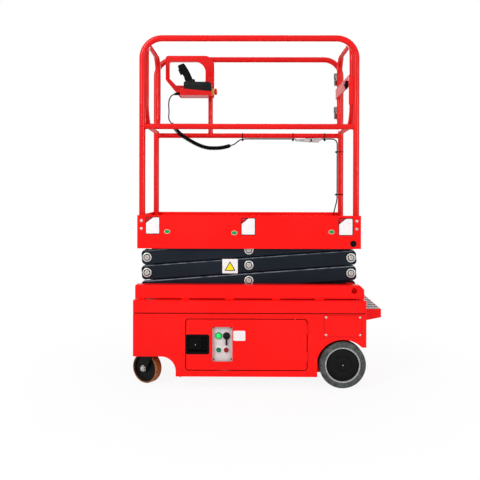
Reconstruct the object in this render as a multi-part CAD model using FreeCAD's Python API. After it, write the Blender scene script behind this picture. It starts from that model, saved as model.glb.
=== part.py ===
import FreeCAD, Part
import math
import os
from FreeCAD import Vector

# Battery scissor lift with a three metre platform, in millimetres.
# +X points to the rear, where the step and the gate are, +Y to the far side, +Z up.
# The origin lies on the floor under the middle of the whole machine.
# An inset or a reach counts from the end or edge of the piece that its name begins with.

# Whole machine
chassis_length = 1193.0
step_reach = 102.0
side_face = 377.0
sheet = 5.0
front_pin_inset = 58.0
rear_pin_inset = 65.0

# Chassis body, seen from the side
chassis_floor_z = 61.0
chassis_seam_z = 383.0
chassis_top_z = 450.0
front_skirt_z = 163.0
front_skirt_inset = 144.0
front_bow_radius = 75.0
bow_side_band = 60.0
caster_mount_z = 195.0
rear_skirt_z = 212.0
arch_radius = 137.0
arch_centre_z = 115.0
arch_front_reach = 131.0
hull_rear_inset = 60.0
well_wall_y = 285.0
seam_groove_depth = 3.0
seam_groove_height = 4.0
open_margin = 1.0

# Side channels that carry the lower rollers
channel_face_y = 345.0
channel_inner_y = 292.0
channel_end_inset = 5.5
channel_low_z = 456.0
channel_high_z = 525.0
channel_sheet = 3.0
channel_front_chamfer = 4.0
channel_rear_chamfer = 22.0
roller_clearance = 0.5
channel_pads = [
    # share of the channel's length, half width
    (0.028, 17.5),
    (0.219, 19.0),
    (0.412, 23.0),
    (0.615, 20.5),
    (0.805, 23.0),
    (0.987, 11.0),
]
access_hole_radius = 15.0
access_hole_inset = 56.0
access_hole_z = 497.0

# Scissor stack
level_rise = 80.5
first_pin_z = 501.0
level_count = 3
lift_angle = 44.0
arm_height = 75.0
arm_thickness = 30.0
arm_wall = 4.0
arm_end = 29.0
arm_corner = 12.0
outer_arm_face = 285.0
arm_gap = 10.0
pin_radius = 13.0
pin_clearance = 0.3
pin_head = 2.0
bush_radius = 23.0
bush_flange = 3.0
collar_radius = 19.0
collar_gap = 1.0
collar_width = 7.0
cross_tube_radius = 25.0
cross_tube_bore = 18.0
tie_from_middle = 64.0
roller_radius = 20.0
lower_roller_gap = 8.0
lower_roller_width = 36.0
upper_roller_gap = 2.0
upper_roller_width = 30.0
axle_end = 2.0
pivot_plate_gap = 2.0
pivot_plate = 6.0
pivot_plate_half = 40.0
pivot_plate_top_half = 22.0
pivot_plate_corner = 14.0

# Lift cylinder
barrel_radius = 40.0
barrel_bore = 30.0
barrel_end_wall = 15.0
gland_length = 30.0
rod_radius = 22.0
piston_length = 30.0
eye_radius = 26.0
eye_width = 50.0
eye_neck = 8.0
eye_pin_radius = 12.0
eye_pin_end = 6.0
ear_thickness = 12.0
ear_gap = 2.0
ear_step = 3.0
eye_seat = 3.0
port_seat = 3.0
port_radius = 10.0
port_reach = 13.0
port_inset = 40.0
barrel_hinge_from_pin = 92.0
rod_eye_from_tip = 83.0
rod_showing = 92.0
piston_inset = 65.5

# Wheels
drive_wheel_inset = 119.0
drive_wheel_radius = 120.0
drive_wheel_width = 72.0
drive_wheel_face = 374.0
drive_shoulder = 5.0
drive_rim_radius = 92.0
drive_rim_depth = 6.0
drive_hub_radius = 84.0
drive_hub_depth = 8.0
drive_boss_radius = 30.0
drive_boss_height = 11.0
drive_axle_radius = 18.0
drive_axle_inset = 3.0
axle_hole_gap = 3.0
drive_motor_radius = 53.0
drive_motor_length = 90.0
motor_foot_half = 40.0
motor_foot_length = 60.0
caster_swivel_inset = 84.0
caster_swivel_y = 285.0
caster_radius = 80.0
caster_width = 50.0
caster_shoulder = 4.0
caster_trail = 31.0
caster_yaw = 150.0
caster_tread = 8.0
caster_rim_wall = 8.0
caster_rim_depth = 11.0
caster_boss_radius = 20.0
caster_axle_radius = 7.0
caster_nut_radius = 12.0
caster_nut_height = 8.0
fork_plate = 5.0
fork_leg_gap = 3.0
fork_half_length = 42.0
fork_foot_half = 17.0
fork_foot_round = 16.0
fork_crown_gap = 10.0
race_radius = 38.0
fork_plate_size = 100.0
fork_plate_corner = 10.0
fork_plate_thickness = 6.0

# Doors, latches and control panel in the chassis sides
door_front_inset = 268.0
door_rear_inset = 300.0
door_low_z = 92.0
door_high_z = 358.0
door_corner = 18.0
door_gap = 4.0
door_sheet = 4.0
door_lip = 14.0
door_lip_sheet = 3.0
knuckle_radius = 4.0
knuckle_pin_radius = 2.0
knuckle_length = 26.0
knuckle_clearance = 1.0
hinge_leaf = 12.0
hinge_leaf_sheet = 3.0
hinge_web_half = 2.0
door_hinge_heights = [140.0, 280.0]
latch_from_door = 4.0
latch_length = 116.0
latch_low_z = 179.0
latch_high_z = 274.0
latch_depth = 24.0
latch_frame = 10.0
latch_floor = 6.0
paddle_front = 22.0
paddle_rear = 36.0
paddle_margin = 16.0
paddle_drop = 6.0
window_from_door = 139.0
window_length = 102.0
window_low_z = 139.0
window_high_z = 315.0
window_corner = 4.0
panel_margin = 10.0
panel_face_y = 356.0
panel_depth = 60.0
panel_leg = 6.0
panel_leg_inset = 20.0
panel_foot_length = 40.0
panel_knobs = [
    # from the window's middle, z, radius, reach
    (-19.0, 266.0, 14.0, 12.0),
    (20.0, 266.0, 18.0, 10.0),
    (-20.0, 194.0, 13.0, 14.0),
    (20.0, 194.0, 13.0, 14.0),
]
cover_front_inset = 215.0
cover_rear_inset = 24.0
cover_low_z = 268.0
cover_high_z = 375.0
cover_sheet = 2.0
cover_corner = 3.0

# Battery block and step
battery_front_gap = 35.0
battery_rear_gap = 70.0
battery_half_width = 185.0
battery_height = 250.0
step_half_width = 250.0
step_top_z = 387.0
step_drop_inner = 65.0
step_drop_outer = 44.0
step_side = 5.0
step_rib = 4.0
step_plate = 6.0
step_rib_count = 8
step_rib_share = 0.3

# Platform
platform_overhang = 50.0
platform_half_width = 300.0
deck_top_z = 794.0
deck_sheet = 5.0
toe_sheet = 2.0
toe_low_z = 709.0
toe_high_z = 883.0
toe_rear_high_z = 840.0
track_low_z = 717.0
track_spare = 29.0
track_inner_y = 166.0
track_sheet = 4.0
track_lip_gap = 1.0
lug_gap = 3.0
lug_thickness = 6.0
lug_half_width = 28.0
lug_below_pin = 24.0
lug_corner = 20.0
rib_half_width = 160.0
rib_height = 40.0
rib_shares = [0.11, 0.32, 0.53, 0.74, 0.88]
toe_hole_radius = 15.0
toe_hole_inset = 40.0
toe_hole_z = 736.0

# Guard rails
rail_plane_y = 267.0
post_inset = 21.0
rail_tube_radius = 16.5
mid_tube_radius = 15.0
top_rail_z = 1815.5
mid_rail_share = 0.5453
rail_bend = 104.0
loop_inset_x = 14.0
loop_above_mid = 15.0
loop_bend = 106.0
fixed_loop_gap = 0.3
gate_gap = 5.0
gate_hinge_shares = [0.72, 0.27]
hinge_pin_radius = 3.0
hinge_barrel_radius = 6.0
hinge_barrel_length = 70.0
hinge_stand_off = 2.5
hinge_side_y = 24.0
hinge_strap = 6.0
hinge_strap_margin = 5.0
latch_bar_share = 0.518
latch_bar_height = 60.0
latch_bar_sheet = 6.0
latch_bar_end = 8.0
keeper_top_share = 0.56
keeper_height = 150.0
keeper_reach = 24.0
keeper_sheet = 6.0

# Platform control stand on the far rail: a frame cut from plate, with a wedge tray in front
stand_from_post = 60.0
stand_thickness = 16.0
stand_seat_gap = 0.3
stand_above_rail = 17.0
stand_outline = [
    # along, down from the top edge, corner radius
    (0.0, 0.0, 16.0),
    (296.0, 0.0, 60.0),
    (296.0, 256.0, 8.0),
    (91.0, 256.0, 12.0),
    (0.0, 146.0, 20.0),
]
stand_opening = [
    # along, down from the top edge, corner radius
    (26.0, 35.0, 12.0),
    (242.0, 35.0, 66.0),
    (242.0, 180.0, 6.0),
    (64.0, 180.0, 8.0),
    (26.0, 140.0, 10.0),
]
strut_along = 272.0
strut_radius = 14.5
tray_along = 98.0
tray_length = 188.0
tray_depth = 110.0
tray_sheet = 3.0
tray_floor_drop = 256.0
tray_front_height = 41.0
tray_rear_height = 23.0
box_side_gap = 5.0
box_outline = [
    # along from the tray's front, above the tray's floor, corner radius
    (21.0, 0.0, 4.0),
    (21.0, 81.0, 5.0),
    (75.0, 102.0, 5.0),
    (95.0, 78.0, 6.0),
    (186.0, 79.0, 22.0),
    (186.0, 0.0, 4.0),
]
grip_half_width = 17.0
grip_outline = [
    # along from the tray's front, above the tray's floor, corner radius
    (27.0, 78.0, 4.0),
    (6.0, 112.0, 6.0),
    (-15.0, 139.0, 3.0),
    (-8.0, 152.0, 5.0),
    (-18.0, 180.0, 6.0),
    (9.0, 195.0, 10.0),
    (51.0, 144.0, 24.0),
    (60.0, 86.0, 8.0),
]
stop_above_floor = 26.0
stop_collar_radius = 19.0
stop_collar = 9.0
stop_head_radius = 17.5
stop_head = 22.0

# Cord from the control box, tied along the far mid rail and down the rear post
cord_diameter = 7.0
curl_diameter = 26.0
boot_length = 37.0
boot_radius = 8.0
boot_tip_radius = 5.0
boot_above_floor = 14.0
exit_route = [
    # along from the stand's front edge, inside the rails' plane, below the stand's top edge
    (81.7, 86.3, 239.0),
    (52.0, 86.3, 241.0),
    (31.0, 84.0, 262.5),
    (22.0, 70.0, 296.0),
    (24.0, 49.0, 342.0),
]
curl_lead = [
    # along from the stand's front edge, inside the rails' plane, above the mid rail
    (17.4, 35.0, 97.0),
    (33.8, 35.0, 72.3),
]
curl_route = [
    # along, inside, above the mid rail
    (34.0, 35.0, 72.0),
    (72.0, 35.0, 15.0),
    (164.0, 35.0, -44.0),
    (240.0, 35.0, -77.0),
    (301.0, 35.0, -80.0),
    (352.0, 35.0, -76.0),
    (396.0, 35.0, -63.0),
]
tie_route = [
    # along, inside, above the mid rail
    (396.3, 35.0, -62.9),
    (413.0, 35.0, -58.0),
    (426.0, 29.0, -49.0),
    (438.0, 20.0, -37.0),
    (456.0, 10.0, -25.0),
    (480.0, 3.0, -20.0),
    (502.0, 3.0, -20.0),
]
cord_bend_share = 0.45
lead_drop = 20.0
lead_inside = 3.0
lead_bend = 32.0
lead_foot_bend = 150.0
lead_elbow_z = 960.0
lead_end_gap = 0.5
lead_knee_z = 880.0
lead_knee_out = 20.0
lead_foot_out = 31.0
lead_to_post = 21.5
plug_along = 790.0
plug_length = 94.0
socket_length = 56.0
plug_joint = 8.0
plug_joint_radius = 7.0
plug_half = 10.0
plug_drop = 8.0
plug_corner = 5.0
first_tie = (468.4, 6.4, -22.4)
first_tie_slack = 1.0
rail_ties_along = [776.0, 969.0]
post_tie_heights = [1250.0, 990.0]
tie_width = 5.0
tie_sheet = 1.5
grommet_radius = 9.0
grommet_height = 5.0

# Places worked out from the sizes above
caster_lean = math.radians(180 - caster_yaw)
caster_half_width = caster_width / 2
caster_reach = max(
    caster_radius * math.cos(caster_lean) + (caster_half_width - 2 * caster_shoulder) * math.sin(caster_lean),
    (caster_radius - caster_shoulder) * math.cos(caster_lean) + caster_half_width * math.sin(caster_lean))
caster_overhang = caster_trail * math.cos(caster_lean) + caster_reach - caster_swivel_inset
front_x = caster_overhang - (caster_overhang + chassis_length + step_reach) / 2
rear_x = front_x + chassis_length
left_x = front_x + front_pin_inset
right_x = rear_x - rear_pin_inset
pin_span = right_x - left_x
arm_length = math.hypot(pin_span, level_rise)
rest_angle = math.degrees(math.atan2(level_rise, pin_span))
pin_z = [first_pin_z + level * level_rise for level in range(level_count + 1)]
outer_arm_low_y = outer_arm_face - arm_thickness
inner_arm_face = outer_arm_low_y - arm_gap
inner_arm_low_y = inner_arm_face - arm_thickness
lower_roller_low_y = outer_arm_face + lower_roller_gap
upper_roller_low_y = inner_arm_low_y - upper_roller_gap - upper_roller_width
lug_face_y = outer_arm_face + lug_gap
rod_eye_from_pin = arm_length - rod_eye_from_tip
wheel_x = rear_x - drive_wheel_inset
swivel_x = front_x + caster_swivel_inset
arch_x = wheel_x - arch_front_reach
skirt_x = front_x + front_skirt_inset
hull_end_x = rear_x - hull_rear_inset
door_front_x = front_x + door_front_inset
door_rear_x = rear_x - door_rear_inset
window_front_x = door_front_x + window_from_door
window_rear_x = window_front_x + window_length
deck_low_z = deck_top_z - deck_sheet
platform_front_x = left_x - platform_overhang
platform_rear_x = right_x + platform_overhang
platform_length = platform_rear_x - platform_front_x
front_post_x = platform_front_x + post_inset
rear_post_x = platform_rear_x - post_inset
mid_rail_z = deck_top_z + mid_rail_share * (top_rail_z - deck_top_z)
loop_low_z = mid_rail_z + loop_above_mid
loop_height = top_rail_z - loop_low_z
gate_x = rear_post_x - loop_inset_x
tube_pitch = 2 * rail_tube_radius
fixed_stile_y = rail_plane_y - math.sqrt((tube_pitch + fixed_loop_gap) ** 2 - loop_inset_x ** 2)
gate_stile_y = rail_plane_y - tube_pitch - gate_gap
hinge_x = gate_x - rail_tube_radius - hinge_barrel_radius - hinge_stand_off
hinge_y = rail_plane_y - hinge_side_y
stand_x = front_post_x + stand_from_post
stand_top_z = top_rail_z + stand_above_rail
stand_back_y = rail_plane_y - rail_tube_radius - stand_seat_gap
stand_face_y = stand_back_y - stand_thickness
tray_x = stand_x + tray_along
tray_floor_z = stand_top_z - tray_floor_drop
tray_near_y = stand_face_y - tray_depth
box_far_y = stand_face_y - box_side_gap
box_near_y = tray_near_y + tray_sheet + box_side_gap
box_middle_y = (box_far_y + box_near_y) / 2
rail_lead_z = mid_rail_z - lead_drop
rail_lead_y = rail_plane_y - lead_inside
post_lead_x = rear_post_x - lead_to_post
sides = [-1, 1]


def box(x0, x1, y0, y1, z0, z1):
    """A block between two corners."""
    return Part.makeBox(x1 - x0, y1 - y0, z1 - z0, Vector(x0, y0, z0))


def rod_along(axis, radius, start, length):
    """A round bar from a start point along an axis."""
    return Part.makeCylinder(radius, length, Vector(*start), Vector(*axis))


def across(radius, x, z, y0, y1):
    """A round bar across the machine, between two widths."""
    return rod_along((0, 1, 0), radius, (x, min(y0, y1), z), abs(y1 - y0))


def between(side, y0, y1):
    """Lower and upper Y of a span that is given outwards on one side."""
    return sorted((side * y0, side * y1))


def rounded_wire(points, closed=True):
    """A wire of straight runs and tangent arcs. Each point is x, y, z, radius."""
    places = [Vector(p[0], p[1], p[2]) for p in points]
    count = len(places)
    corners = []
    for i, place in enumerate(places):
        radius = points[i][3]
        if radius == 0 or (not closed and i in (0, count - 1)):
            corners.append((place, None, place))
            continue
        before = (places[i - 1] - place).normalize()
        after = (places[(i + 1) % count] - place).normalize()
        half = before.getAngle(after) / 2
        reach = radius / math.tan(half)
        bisector = (before + after).normalize()
        middle = place + bisector * (radius / math.sin(half) - radius)
        corners.append((place + before * reach, middle, place + after * reach))
    edges = []
    for i, corner in enumerate(corners):
        if corner[1] is not None:
            edges.append(Part.Arc(corner[0], corner[1], corner[2]).toShape())
        if i == count - 1 and not closed:
            break
        following = corners[(i + 1) % count]
        if (corner[2] - following[0]).Length > 1e-6:
            edges.append(Part.LineSegment(corner[2], following[0]).toShape())
    return Part.Wire(edges)


def side_plate(outline, y0, y1):
    """A plate with a side outline of x, z, radius, between two widths."""
    wire = rounded_wire([(x, min(y0, y1), z, r) for x, z, r in outline])
    return Part.Face(wire).extrude(Vector(0, abs(y1 - y0), 0))


def end_section(outline, x0, x1):
    """A section of y, z, radius, drawn out along X."""
    wire = rounded_wire([(x0, y, z, r) for y, z, r in outline])
    return Part.Face(wire).extrude(Vector(x1 - x0, 0, 0))


def flat_plate(outline, z0, z1):
    """A plate with a plan outline of x, y, radius, between two heights."""
    wire = rounded_wire([(x, y, z0, r) for x, y, r in outline])
    return Part.Face(wire).extrude(Vector(0, 0, z1 - z0))


def bent_tube(points, radius, closed=False):
    """A round bar bent along straight runs and tangent arcs."""
    wire = rounded_wire(points, closed)
    start = wire.Edges[0].valueAt(wire.Edges[0].FirstParameter)
    heading = wire.Edges[0].tangentAt(wire.Edges[0].FirstParameter)
    section = Part.Wire([Part.makeCircle(radius, start, heading)])
    return wire.makePipeShell([section], True, True)


def fuse(pieces):
    """One solid from pieces that meet."""
    joined = pieces[0]
    if len(pieces) > 1:
        joined = pieces[0].fuse(pieces[1:])
    return joined.removeSplitter()


def save(name, pieces):
    """One node. Its pieces stay separate solids."""
    shape = pieces[0] if len(pieces) == 1 else Part.makeCompound(pieces)
    shape.exportStep("parts/" + name + ".step")


def turned(profile, x, z):
    """A ring turned about an axle along Y, from a profile of y, radius."""
    corners = [Vector(x, y, z + radius) for y, radius in profile]
    outline = Part.makePolygon(corners + corners[:1])
    return Part.Face(outline).revolve(Vector(x, 0, z), Vector(0, 1, 0), 360)


def chassis_shell():
    """Welded sheet body with raised bow for the casters and arches for the drive wheels."""
    bow_z = front_skirt_z - front_bow_radius
    bow_x = skirt_x + front_bow_radius
    arch_front = arch_centre_z + math.sqrt(arch_radius ** 2 - (wheel_x - arch_x) ** 2)
    arch_rear = wheel_x + math.sqrt(arch_radius ** 2 - (rear_skirt_z - arch_centre_z) ** 2)
    arch_top = arch_centre_z + arch_radius
    corner = front_bow_radius * math.sqrt(0.5)

    def at(x, z):
        return Vector(x, -side_face, z)

    def line(start, end):
        return Part.LineSegment(at(*start), at(*end)).toShape()

    def arc(start, middle, end):
        return Part.Arc(at(*start), at(*middle), at(*end)).toShape()

    arch = arc((arch_rear, rear_skirt_z), (wheel_x, arch_top), (arch_x, arch_front))
    bow = arc((bow_x, bow_z), (skirt_x + corner, bow_z + corner), (skirt_x, front_skirt_z))
    outline = Part.Wire([
        line((front_x, front_skirt_z), (front_x, chassis_seam_z)),
        line((front_x, chassis_seam_z), (rear_x, chassis_seam_z)),
        line((rear_x, chassis_seam_z), (rear_x, rear_skirt_z)),
        line((rear_x, rear_skirt_z), (arch_rear, rear_skirt_z)),
        arch,
        line((arch_x, arch_front), (arch_x, chassis_floor_z)),
        line((arch_x, chassis_floor_z), (bow_x, chassis_floor_z)),
        line((bow_x, chassis_floor_z), (bow_x, bow_z)),
        bow,
        line((skirt_x, front_skirt_z), (front_x, front_skirt_z)),
    ])
    body = Part.Face(outline).extrude(Vector(0, 2 * side_face, 0))
    body = body.fuse(box(arch_x, hull_end_x, -well_wall_y, well_wall_y, chassis_floor_z, rear_skirt_z))
    inner_y = side_face - sheet
    bow_y = inner_y - bow_side_band
    well_y = well_wall_y - sheet
    open_top = chassis_seam_z + open_margin
    floor_z = chassis_floor_z + sheet
    cuts = [
        box(bow_x + sheet, arch_x - sheet, -inner_y, inner_y, floor_z, open_top),
        box(front_x + sheet, rear_x - sheet, -inner_y, inner_y, arch_top + sheet, open_top),
        box(front_x + sheet, arch_x, -inner_y, inner_y, caster_mount_z + sheet, open_top),
        box(arch_x - sheet, hull_end_x - sheet, -well_y, well_y, floor_z, arch_top + sheet + open_margin),
        box(front_x + sheet, skirt_x, -inner_y, inner_y, 0, caster_mount_z),
        box(skirt_x - open_margin, bow_x, -bow_y, bow_y, 0, bow_z),
        box(skirt_x + sheet, bow_x + sheet + open_margin, -inner_y, inner_y,
            front_skirt_z + sheet, caster_mount_z + sheet + open_margin),
    ]
    for side in sides:
        y0, y1 = between(side, inner_y - open_margin, side_face + open_margin)
        cuts.append(side_plate(door_outline(0), y0, y1))
        y0, y1 = between(side, well_y - open_margin, well_wall_y + open_margin)
        cuts.append(across(drive_axle_radius + axle_hole_gap, wheel_x, drive_wheel_radius, y0, y1))
        for height in door_hinge_heights:
            cuts.append(knuckle_clear(side, height))
    return body.cut(cuts).removeSplitter()


def knuckle_clear(side, height):
    """Room round a door hinge."""
    base = (door_rear_x, side * (side_face - knuckle_clearance), height - knuckle_clearance)
    length = 2 * (knuckle_length + knuckle_clearance)
    return rod_along((0, 0, 1), knuckle_radius + knuckle_clearance, base, length)


def door_outline(gap):
    """Outline of the door opening, or of the door inside it with a gap all round."""
    radius = door_corner - gap
    return [
        (door_front_x + gap, door_low_z + gap, radius),
        (door_rear_x - gap, door_low_z + gap, radius),
        (door_rear_x - gap, door_high_z - gap, radius),
        (door_front_x + gap, door_high_z - gap, radius),
    ]


def chassis_top():
    """Lid of the chassis, folded down to the seam, with a shallow groove along it."""
    lid = box(front_x, rear_x, -side_face, side_face, chassis_seam_z, chassis_top_z)
    hollow = box(front_x + sheet, rear_x - sheet, sheet - side_face, side_face - sheet,
                 chassis_seam_z - open_margin, chassis_top_z - sheet)
    groove = box(front_x - open_margin, rear_x + open_margin,
                 -side_face - open_margin, side_face + open_margin,
                 chassis_seam_z, chassis_seam_z + seam_groove_height)
    core = box(front_x + seam_groove_depth, rear_x - seam_groove_depth,
               seam_groove_depth - side_face, side_face - seam_groove_depth,
               chassis_seam_z - open_margin, chassis_seam_z + seam_groove_height + open_margin)
    return lid.cut([hollow, groove.cut(core)])


def track_channels():
    """C channels on pads, each with a wear bar that the lower rollers run on."""
    run_z = first_pin_z - roller_radius - roller_clearance
    x0 = front_x + channel_end_inset
    x1 = rear_x - channel_end_inset
    web_y = channel_face_y - channel_sheet
    pieces = []
    for side in sides:
        section = [
            (side * channel_face_y, channel_low_z, 0),
            (side * channel_face_y, channel_high_z, 0),
            (side * channel_inner_y, channel_high_z, 0),
            (side * channel_inner_y, channel_high_z - channel_sheet, 0),
            (side * web_y, channel_high_z - channel_sheet, 0),
            (side * web_y, run_z, 0),
            (side * channel_inner_y, run_z, 0),
            (side * channel_inner_y, channel_low_z, 0),
        ]
        rail = end_section(section, x0, x1)
        y0, y1 = between(side, channel_inner_y - open_margin, channel_face_y + open_margin)
        outline = [
            (x0, channel_low_z, 0),
            (x1, channel_low_z, 0),
            (x1, channel_high_z - channel_rear_chamfer, 0),
            (x1 - channel_rear_chamfer, channel_high_z, 0),
            (x0 + channel_front_chamfer, channel_high_z, 0),
            (x0, channel_high_z - channel_front_chamfer, 0),
        ]
        rail = rail.common(side_plate(outline, y0, y1))
        rail = rail.cut(across(access_hole_radius, rear_x - access_hole_inset, access_hole_z, y0, y1))
        y0, y1 = between(side, channel_inner_y, channel_face_y)
        pads = []
        for share, half in channel_pads:
            middle = x0 + share * (x1 - x0)
            pads.append(box(middle - half, middle + half, y0, y1, chassis_top_z, channel_low_z))
        pieces.append(fuse([rail] + pads))
    return pieces


def base_pivots():
    """Plates with pins that the lowest inner arms turn on."""
    pieces = []
    low = inner_arm_face + pivot_plate_gap
    high = low + pivot_plate
    top = first_pin_z + 2 * pin_radius
    outline = [
        (right_x - pivot_plate_half, chassis_top_z, 0),
        (right_x + pivot_plate_half, chassis_top_z, 0),
        (right_x + pivot_plate_top_half, top, pivot_plate_corner),
        (right_x - pivot_plate_top_half, top, pivot_plate_corner),
    ]
    for side in sides:
        y0, y1 = between(side, low, high)
        plate = side_plate(outline, y0, y1)
        y0, y1 = between(side, inner_arm_low_y, high)
        pieces.append(fuse([plate, across(pin_radius, right_x, first_pin_z, y0, y1)]))
    return pieces


def arm_outline(margin):
    """Side outline of a lying arm, with its lower pin at 0, 0."""
    half = arm_height / 2 - margin
    near = margin - arm_end
    far = arm_length + arm_end - margin
    cut = arm_corner
    return [
        (near, cut - half, 0), (near + cut, -half, 0), (far - cut, -half, 0), (far, cut - half, 0),
        (far, half - cut, 0), (far - cut, half, 0), (near + cut, half, 0), (near, half - cut, 0),
    ]


def lying_arm(side, outer_face, hole):
    """A hollow arm along +X, with holes for its two end pins and the pin at its middle."""
    y0, y1 = between(side, outer_face - arm_thickness, outer_face)
    arm = side_plate(arm_outline(0), y0, y1)
    core = side_plate(arm_outline(arm_wall), y0 + arm_wall, y1 - arm_wall)
    sleeves = []
    holes = []
    for place in (0, arm_length / 2, arm_length):
        sleeves.append(across(hole + arm_wall, place, 0, y0, y1))
        holes.append(across(hole, place, 0, y0 - open_margin, y1 + open_margin))
    return arm.cut(core.cut(sleeves)).cut(holes)


def ear_pair(pin_x, toward_x, low_y):
    """Two plates from a cross tube to a cylinder pin, on the lying arm's line."""
    pieces = []
    half = cross_tube_radius - ear_step
    for side in sides:
        y0, y1 = between(side, low_y, low_y + ear_thickness)
        pieces.append(box(min(pin_x, toward_x), max(pin_x, toward_x), y0, y1, -half, half))
        pieces.append(across(half, pin_x, 0, y0, y1))
    return pieces


def inner_arms(level):
    """Inner arm pair with its cross tubes, drawn lying and then turned to its place at rest."""
    hole = pin_radius + pin_clearance
    pieces = [lying_arm(side, inner_arm_face, hole) for side in sides]
    top_level = level == level_count - 1
    tube_places = [0] if top_level else [0, arm_length]
    for place in tube_places:
        pieces.append(across(cross_tube_radius, place, 0, -inner_arm_low_y, inner_arm_low_y))
    ear_low = eye_width / 2 + ear_gap
    ear_high = ear_low + ear_thickness
    if level == 0:
        pieces += ear_pair(barrel_hinge_from_pin, 0, ear_low)
        pieces.append(across(eye_pin_radius, barrel_hinge_from_pin, 0, -ear_high, ear_high))
    if level == 1:
        pieces += ear_pair(rod_eye_from_pin, arm_length, ear_low)
        for side in sides:
            y0, y1 = between(side, ear_low, ear_high + eye_pin_end)
            pieces.append(across(eye_pin_radius, rod_eye_from_pin, 0, y0, y1))
    if top_level:
        tie_x = arm_length / 2 + tie_from_middle
        pieces.append(across(cross_tube_radius, tie_x, 0, -inner_arm_low_y, inner_arm_low_y))
        for side in sides:
            y0, y1 = between(side, upper_roller_low_y - axle_end, inner_arm_low_y)
            pieces.append(across(pin_radius, arm_length, 0, y0, y1))
    bores = [across(cross_tube_bore, place, 0, -inner_arm_low_y, inner_arm_low_y) for place in tube_places]
    return [raised(fuse(pieces).cut(bores), right_x, pin_z[level], True)]


def raised(shape, x, z, mirrored):
    """A lying piece turned to the rest angle, rising to the front if mirrored, else to the rear."""
    placed = shape.copy()
    lean = -rest_angle
    if mirrored:
        placed = placed.mirror(Vector(0, 0, 0), Vector(1, 0, 0))
        lean = rest_angle
    placed.rotate(Vector(0, 0, 0), Vector(0, 1, 0), lean)
    placed.translate(Vector(x, 0, z))
    return placed


def outer_arms(level):
    """Outer arm pair. The lowest pair has a tube across between its rollers."""
    pieces = [lying_arm(side, outer_arm_face, pin_radius) for side in sides]
    if level == 0:
        pieces.append(across(roller_radius, 0, 0, -outer_arm_low_y, outer_arm_low_y))
        pieces = [fuse(pieces)]
    return [raised(piece, left_x, pin_z[level], False) for piece in pieces]


def outer_pins(level):
    """Shafts and pins of an outer pair, with the ring of each bush outside the arm."""
    pieces = []
    head = outer_arm_face + bush_flange + pin_head
    for place in (0, arm_length / 2, arm_length):
        if place == 0 and level == 0:
            for side in sides:
                y0, y1 = between(side, outer_arm_low_y, lower_roller_low_y + lower_roller_width + axle_end)
                pieces.append(across(pin_radius, place, 0, y0, y1))
            continue
        if place == arm_length and level == level_count - 1:
            reach = lug_face_y + lug_thickness
            pieces.append(across(pin_radius, place, 0, -reach, reach))
            continue
        rings = []
        for side in sides:
            y0, y1 = between(side, outer_arm_face, outer_arm_face + bush_flange)
            rings.append(across(bush_radius, place, 0, y0, y1))
        if place in (0, arm_length):
            pieces.append(fuse([across(pin_radius, place, 0, -head, head)] + rings))
            continue
        for side, ring in zip(sides, rings):
            collar_high = inner_arm_low_y - collar_gap
            collar_low = collar_high - collar_width
            y0, y1 = between(side, collar_low, head)
            stub = across(pin_radius, place, 0, y0, y1)
            y0, y1 = between(side, collar_low, collar_high)
            pieces.append(fuse([stub, ring, across(collar_radius, place, 0, y0, y1)]))
    return [raised(piece, left_x, pin_z[level], False) for piece in pieces]


def rollers(x, z, low_y, width):
    """A pair of steel rollers on the stub axles."""
    pieces = []
    for side in sides:
        y0, y1 = between(side, low_y, low_y + width)
        wheel = across(roller_radius, x, z, y0, y1)
        pieces.append(wheel.cut(across(pin_radius + pin_clearance, x, z, y0, y1)))
    return pieces


def cylinder_places():
    """Barrel hinge and rod eye at rest, with the direction and distance between them."""
    lean = math.radians(rest_angle)
    hinge = Vector(
        right_x - barrel_hinge_from_pin * math.cos(lean), 0,
        pin_z[0] + barrel_hinge_from_pin * math.sin(lean))
    eye = Vector(
        right_x - rod_eye_from_pin * math.cos(lean), 0,
        pin_z[1] + rod_eye_from_pin * math.sin(lean))
    return hinge, eye, (eye - hinge).normalize(), (eye - hinge).Length


def cylinder_barrel():
    """Tube with a base eye, and a gland at its mouth."""
    hinge, eye, along, closed = cylinder_places()
    length = closed - rod_showing
    base = hinge + along * (eye_radius + eye_neck)
    body_length = length - eye_radius - eye_neck
    body = rod_along(along, barrel_radius, base, body_length)
    neck = rod_along(along, eye_radius, hinge + along * barrel_end_wall / 2, eye_radius + eye_neck)
    lug = across(eye_radius, hinge.x, hinge.z, -eye_width / 2, eye_width / 2)
    barrel = fuse([body, lug, neck])
    bore_length = body_length - barrel_end_wall - gland_length
    bore = rod_along(along, barrel_bore, base + along * barrel_end_wall, bore_length)
    mouth = hinge + along * (length - 2 * gland_length)
    gland = rod_along(along, rod_radius + pin_clearance, mouth, 2 * gland_length + open_margin)
    hole = across(eye_pin_radius + pin_clearance, hinge.x, hinge.z, -eye_width, eye_width)
    port_base = base + along * port_inset + Vector(0, 0, barrel_radius - port_seat)
    port = rod_along((0, 0, 1), port_radius, port_base, port_reach + port_seat)
    return fuse([barrel.cut([bore, gland, hole]), port])


def cylinder_rod():
    """Rod with its piston inside the barrel and its eye at the upper inner pair."""
    hinge, eye, along, closed = cylinder_places()
    start = hinge + along * piston_inset
    rod = rod_along(along, rod_radius, start, closed - piston_inset - eye_seat)
    piston = rod_along(along, barrel_bore - pin_clearance, start, piston_length)
    lug = across(eye_radius, eye.x, eye.z, -eye_width / 2, eye_width / 2)
    hole = across(eye_pin_radius + pin_clearance, eye.x, eye.z, -eye_width, eye_width)
    return fuse([rod, piston, lug]).cut(hole)


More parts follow.
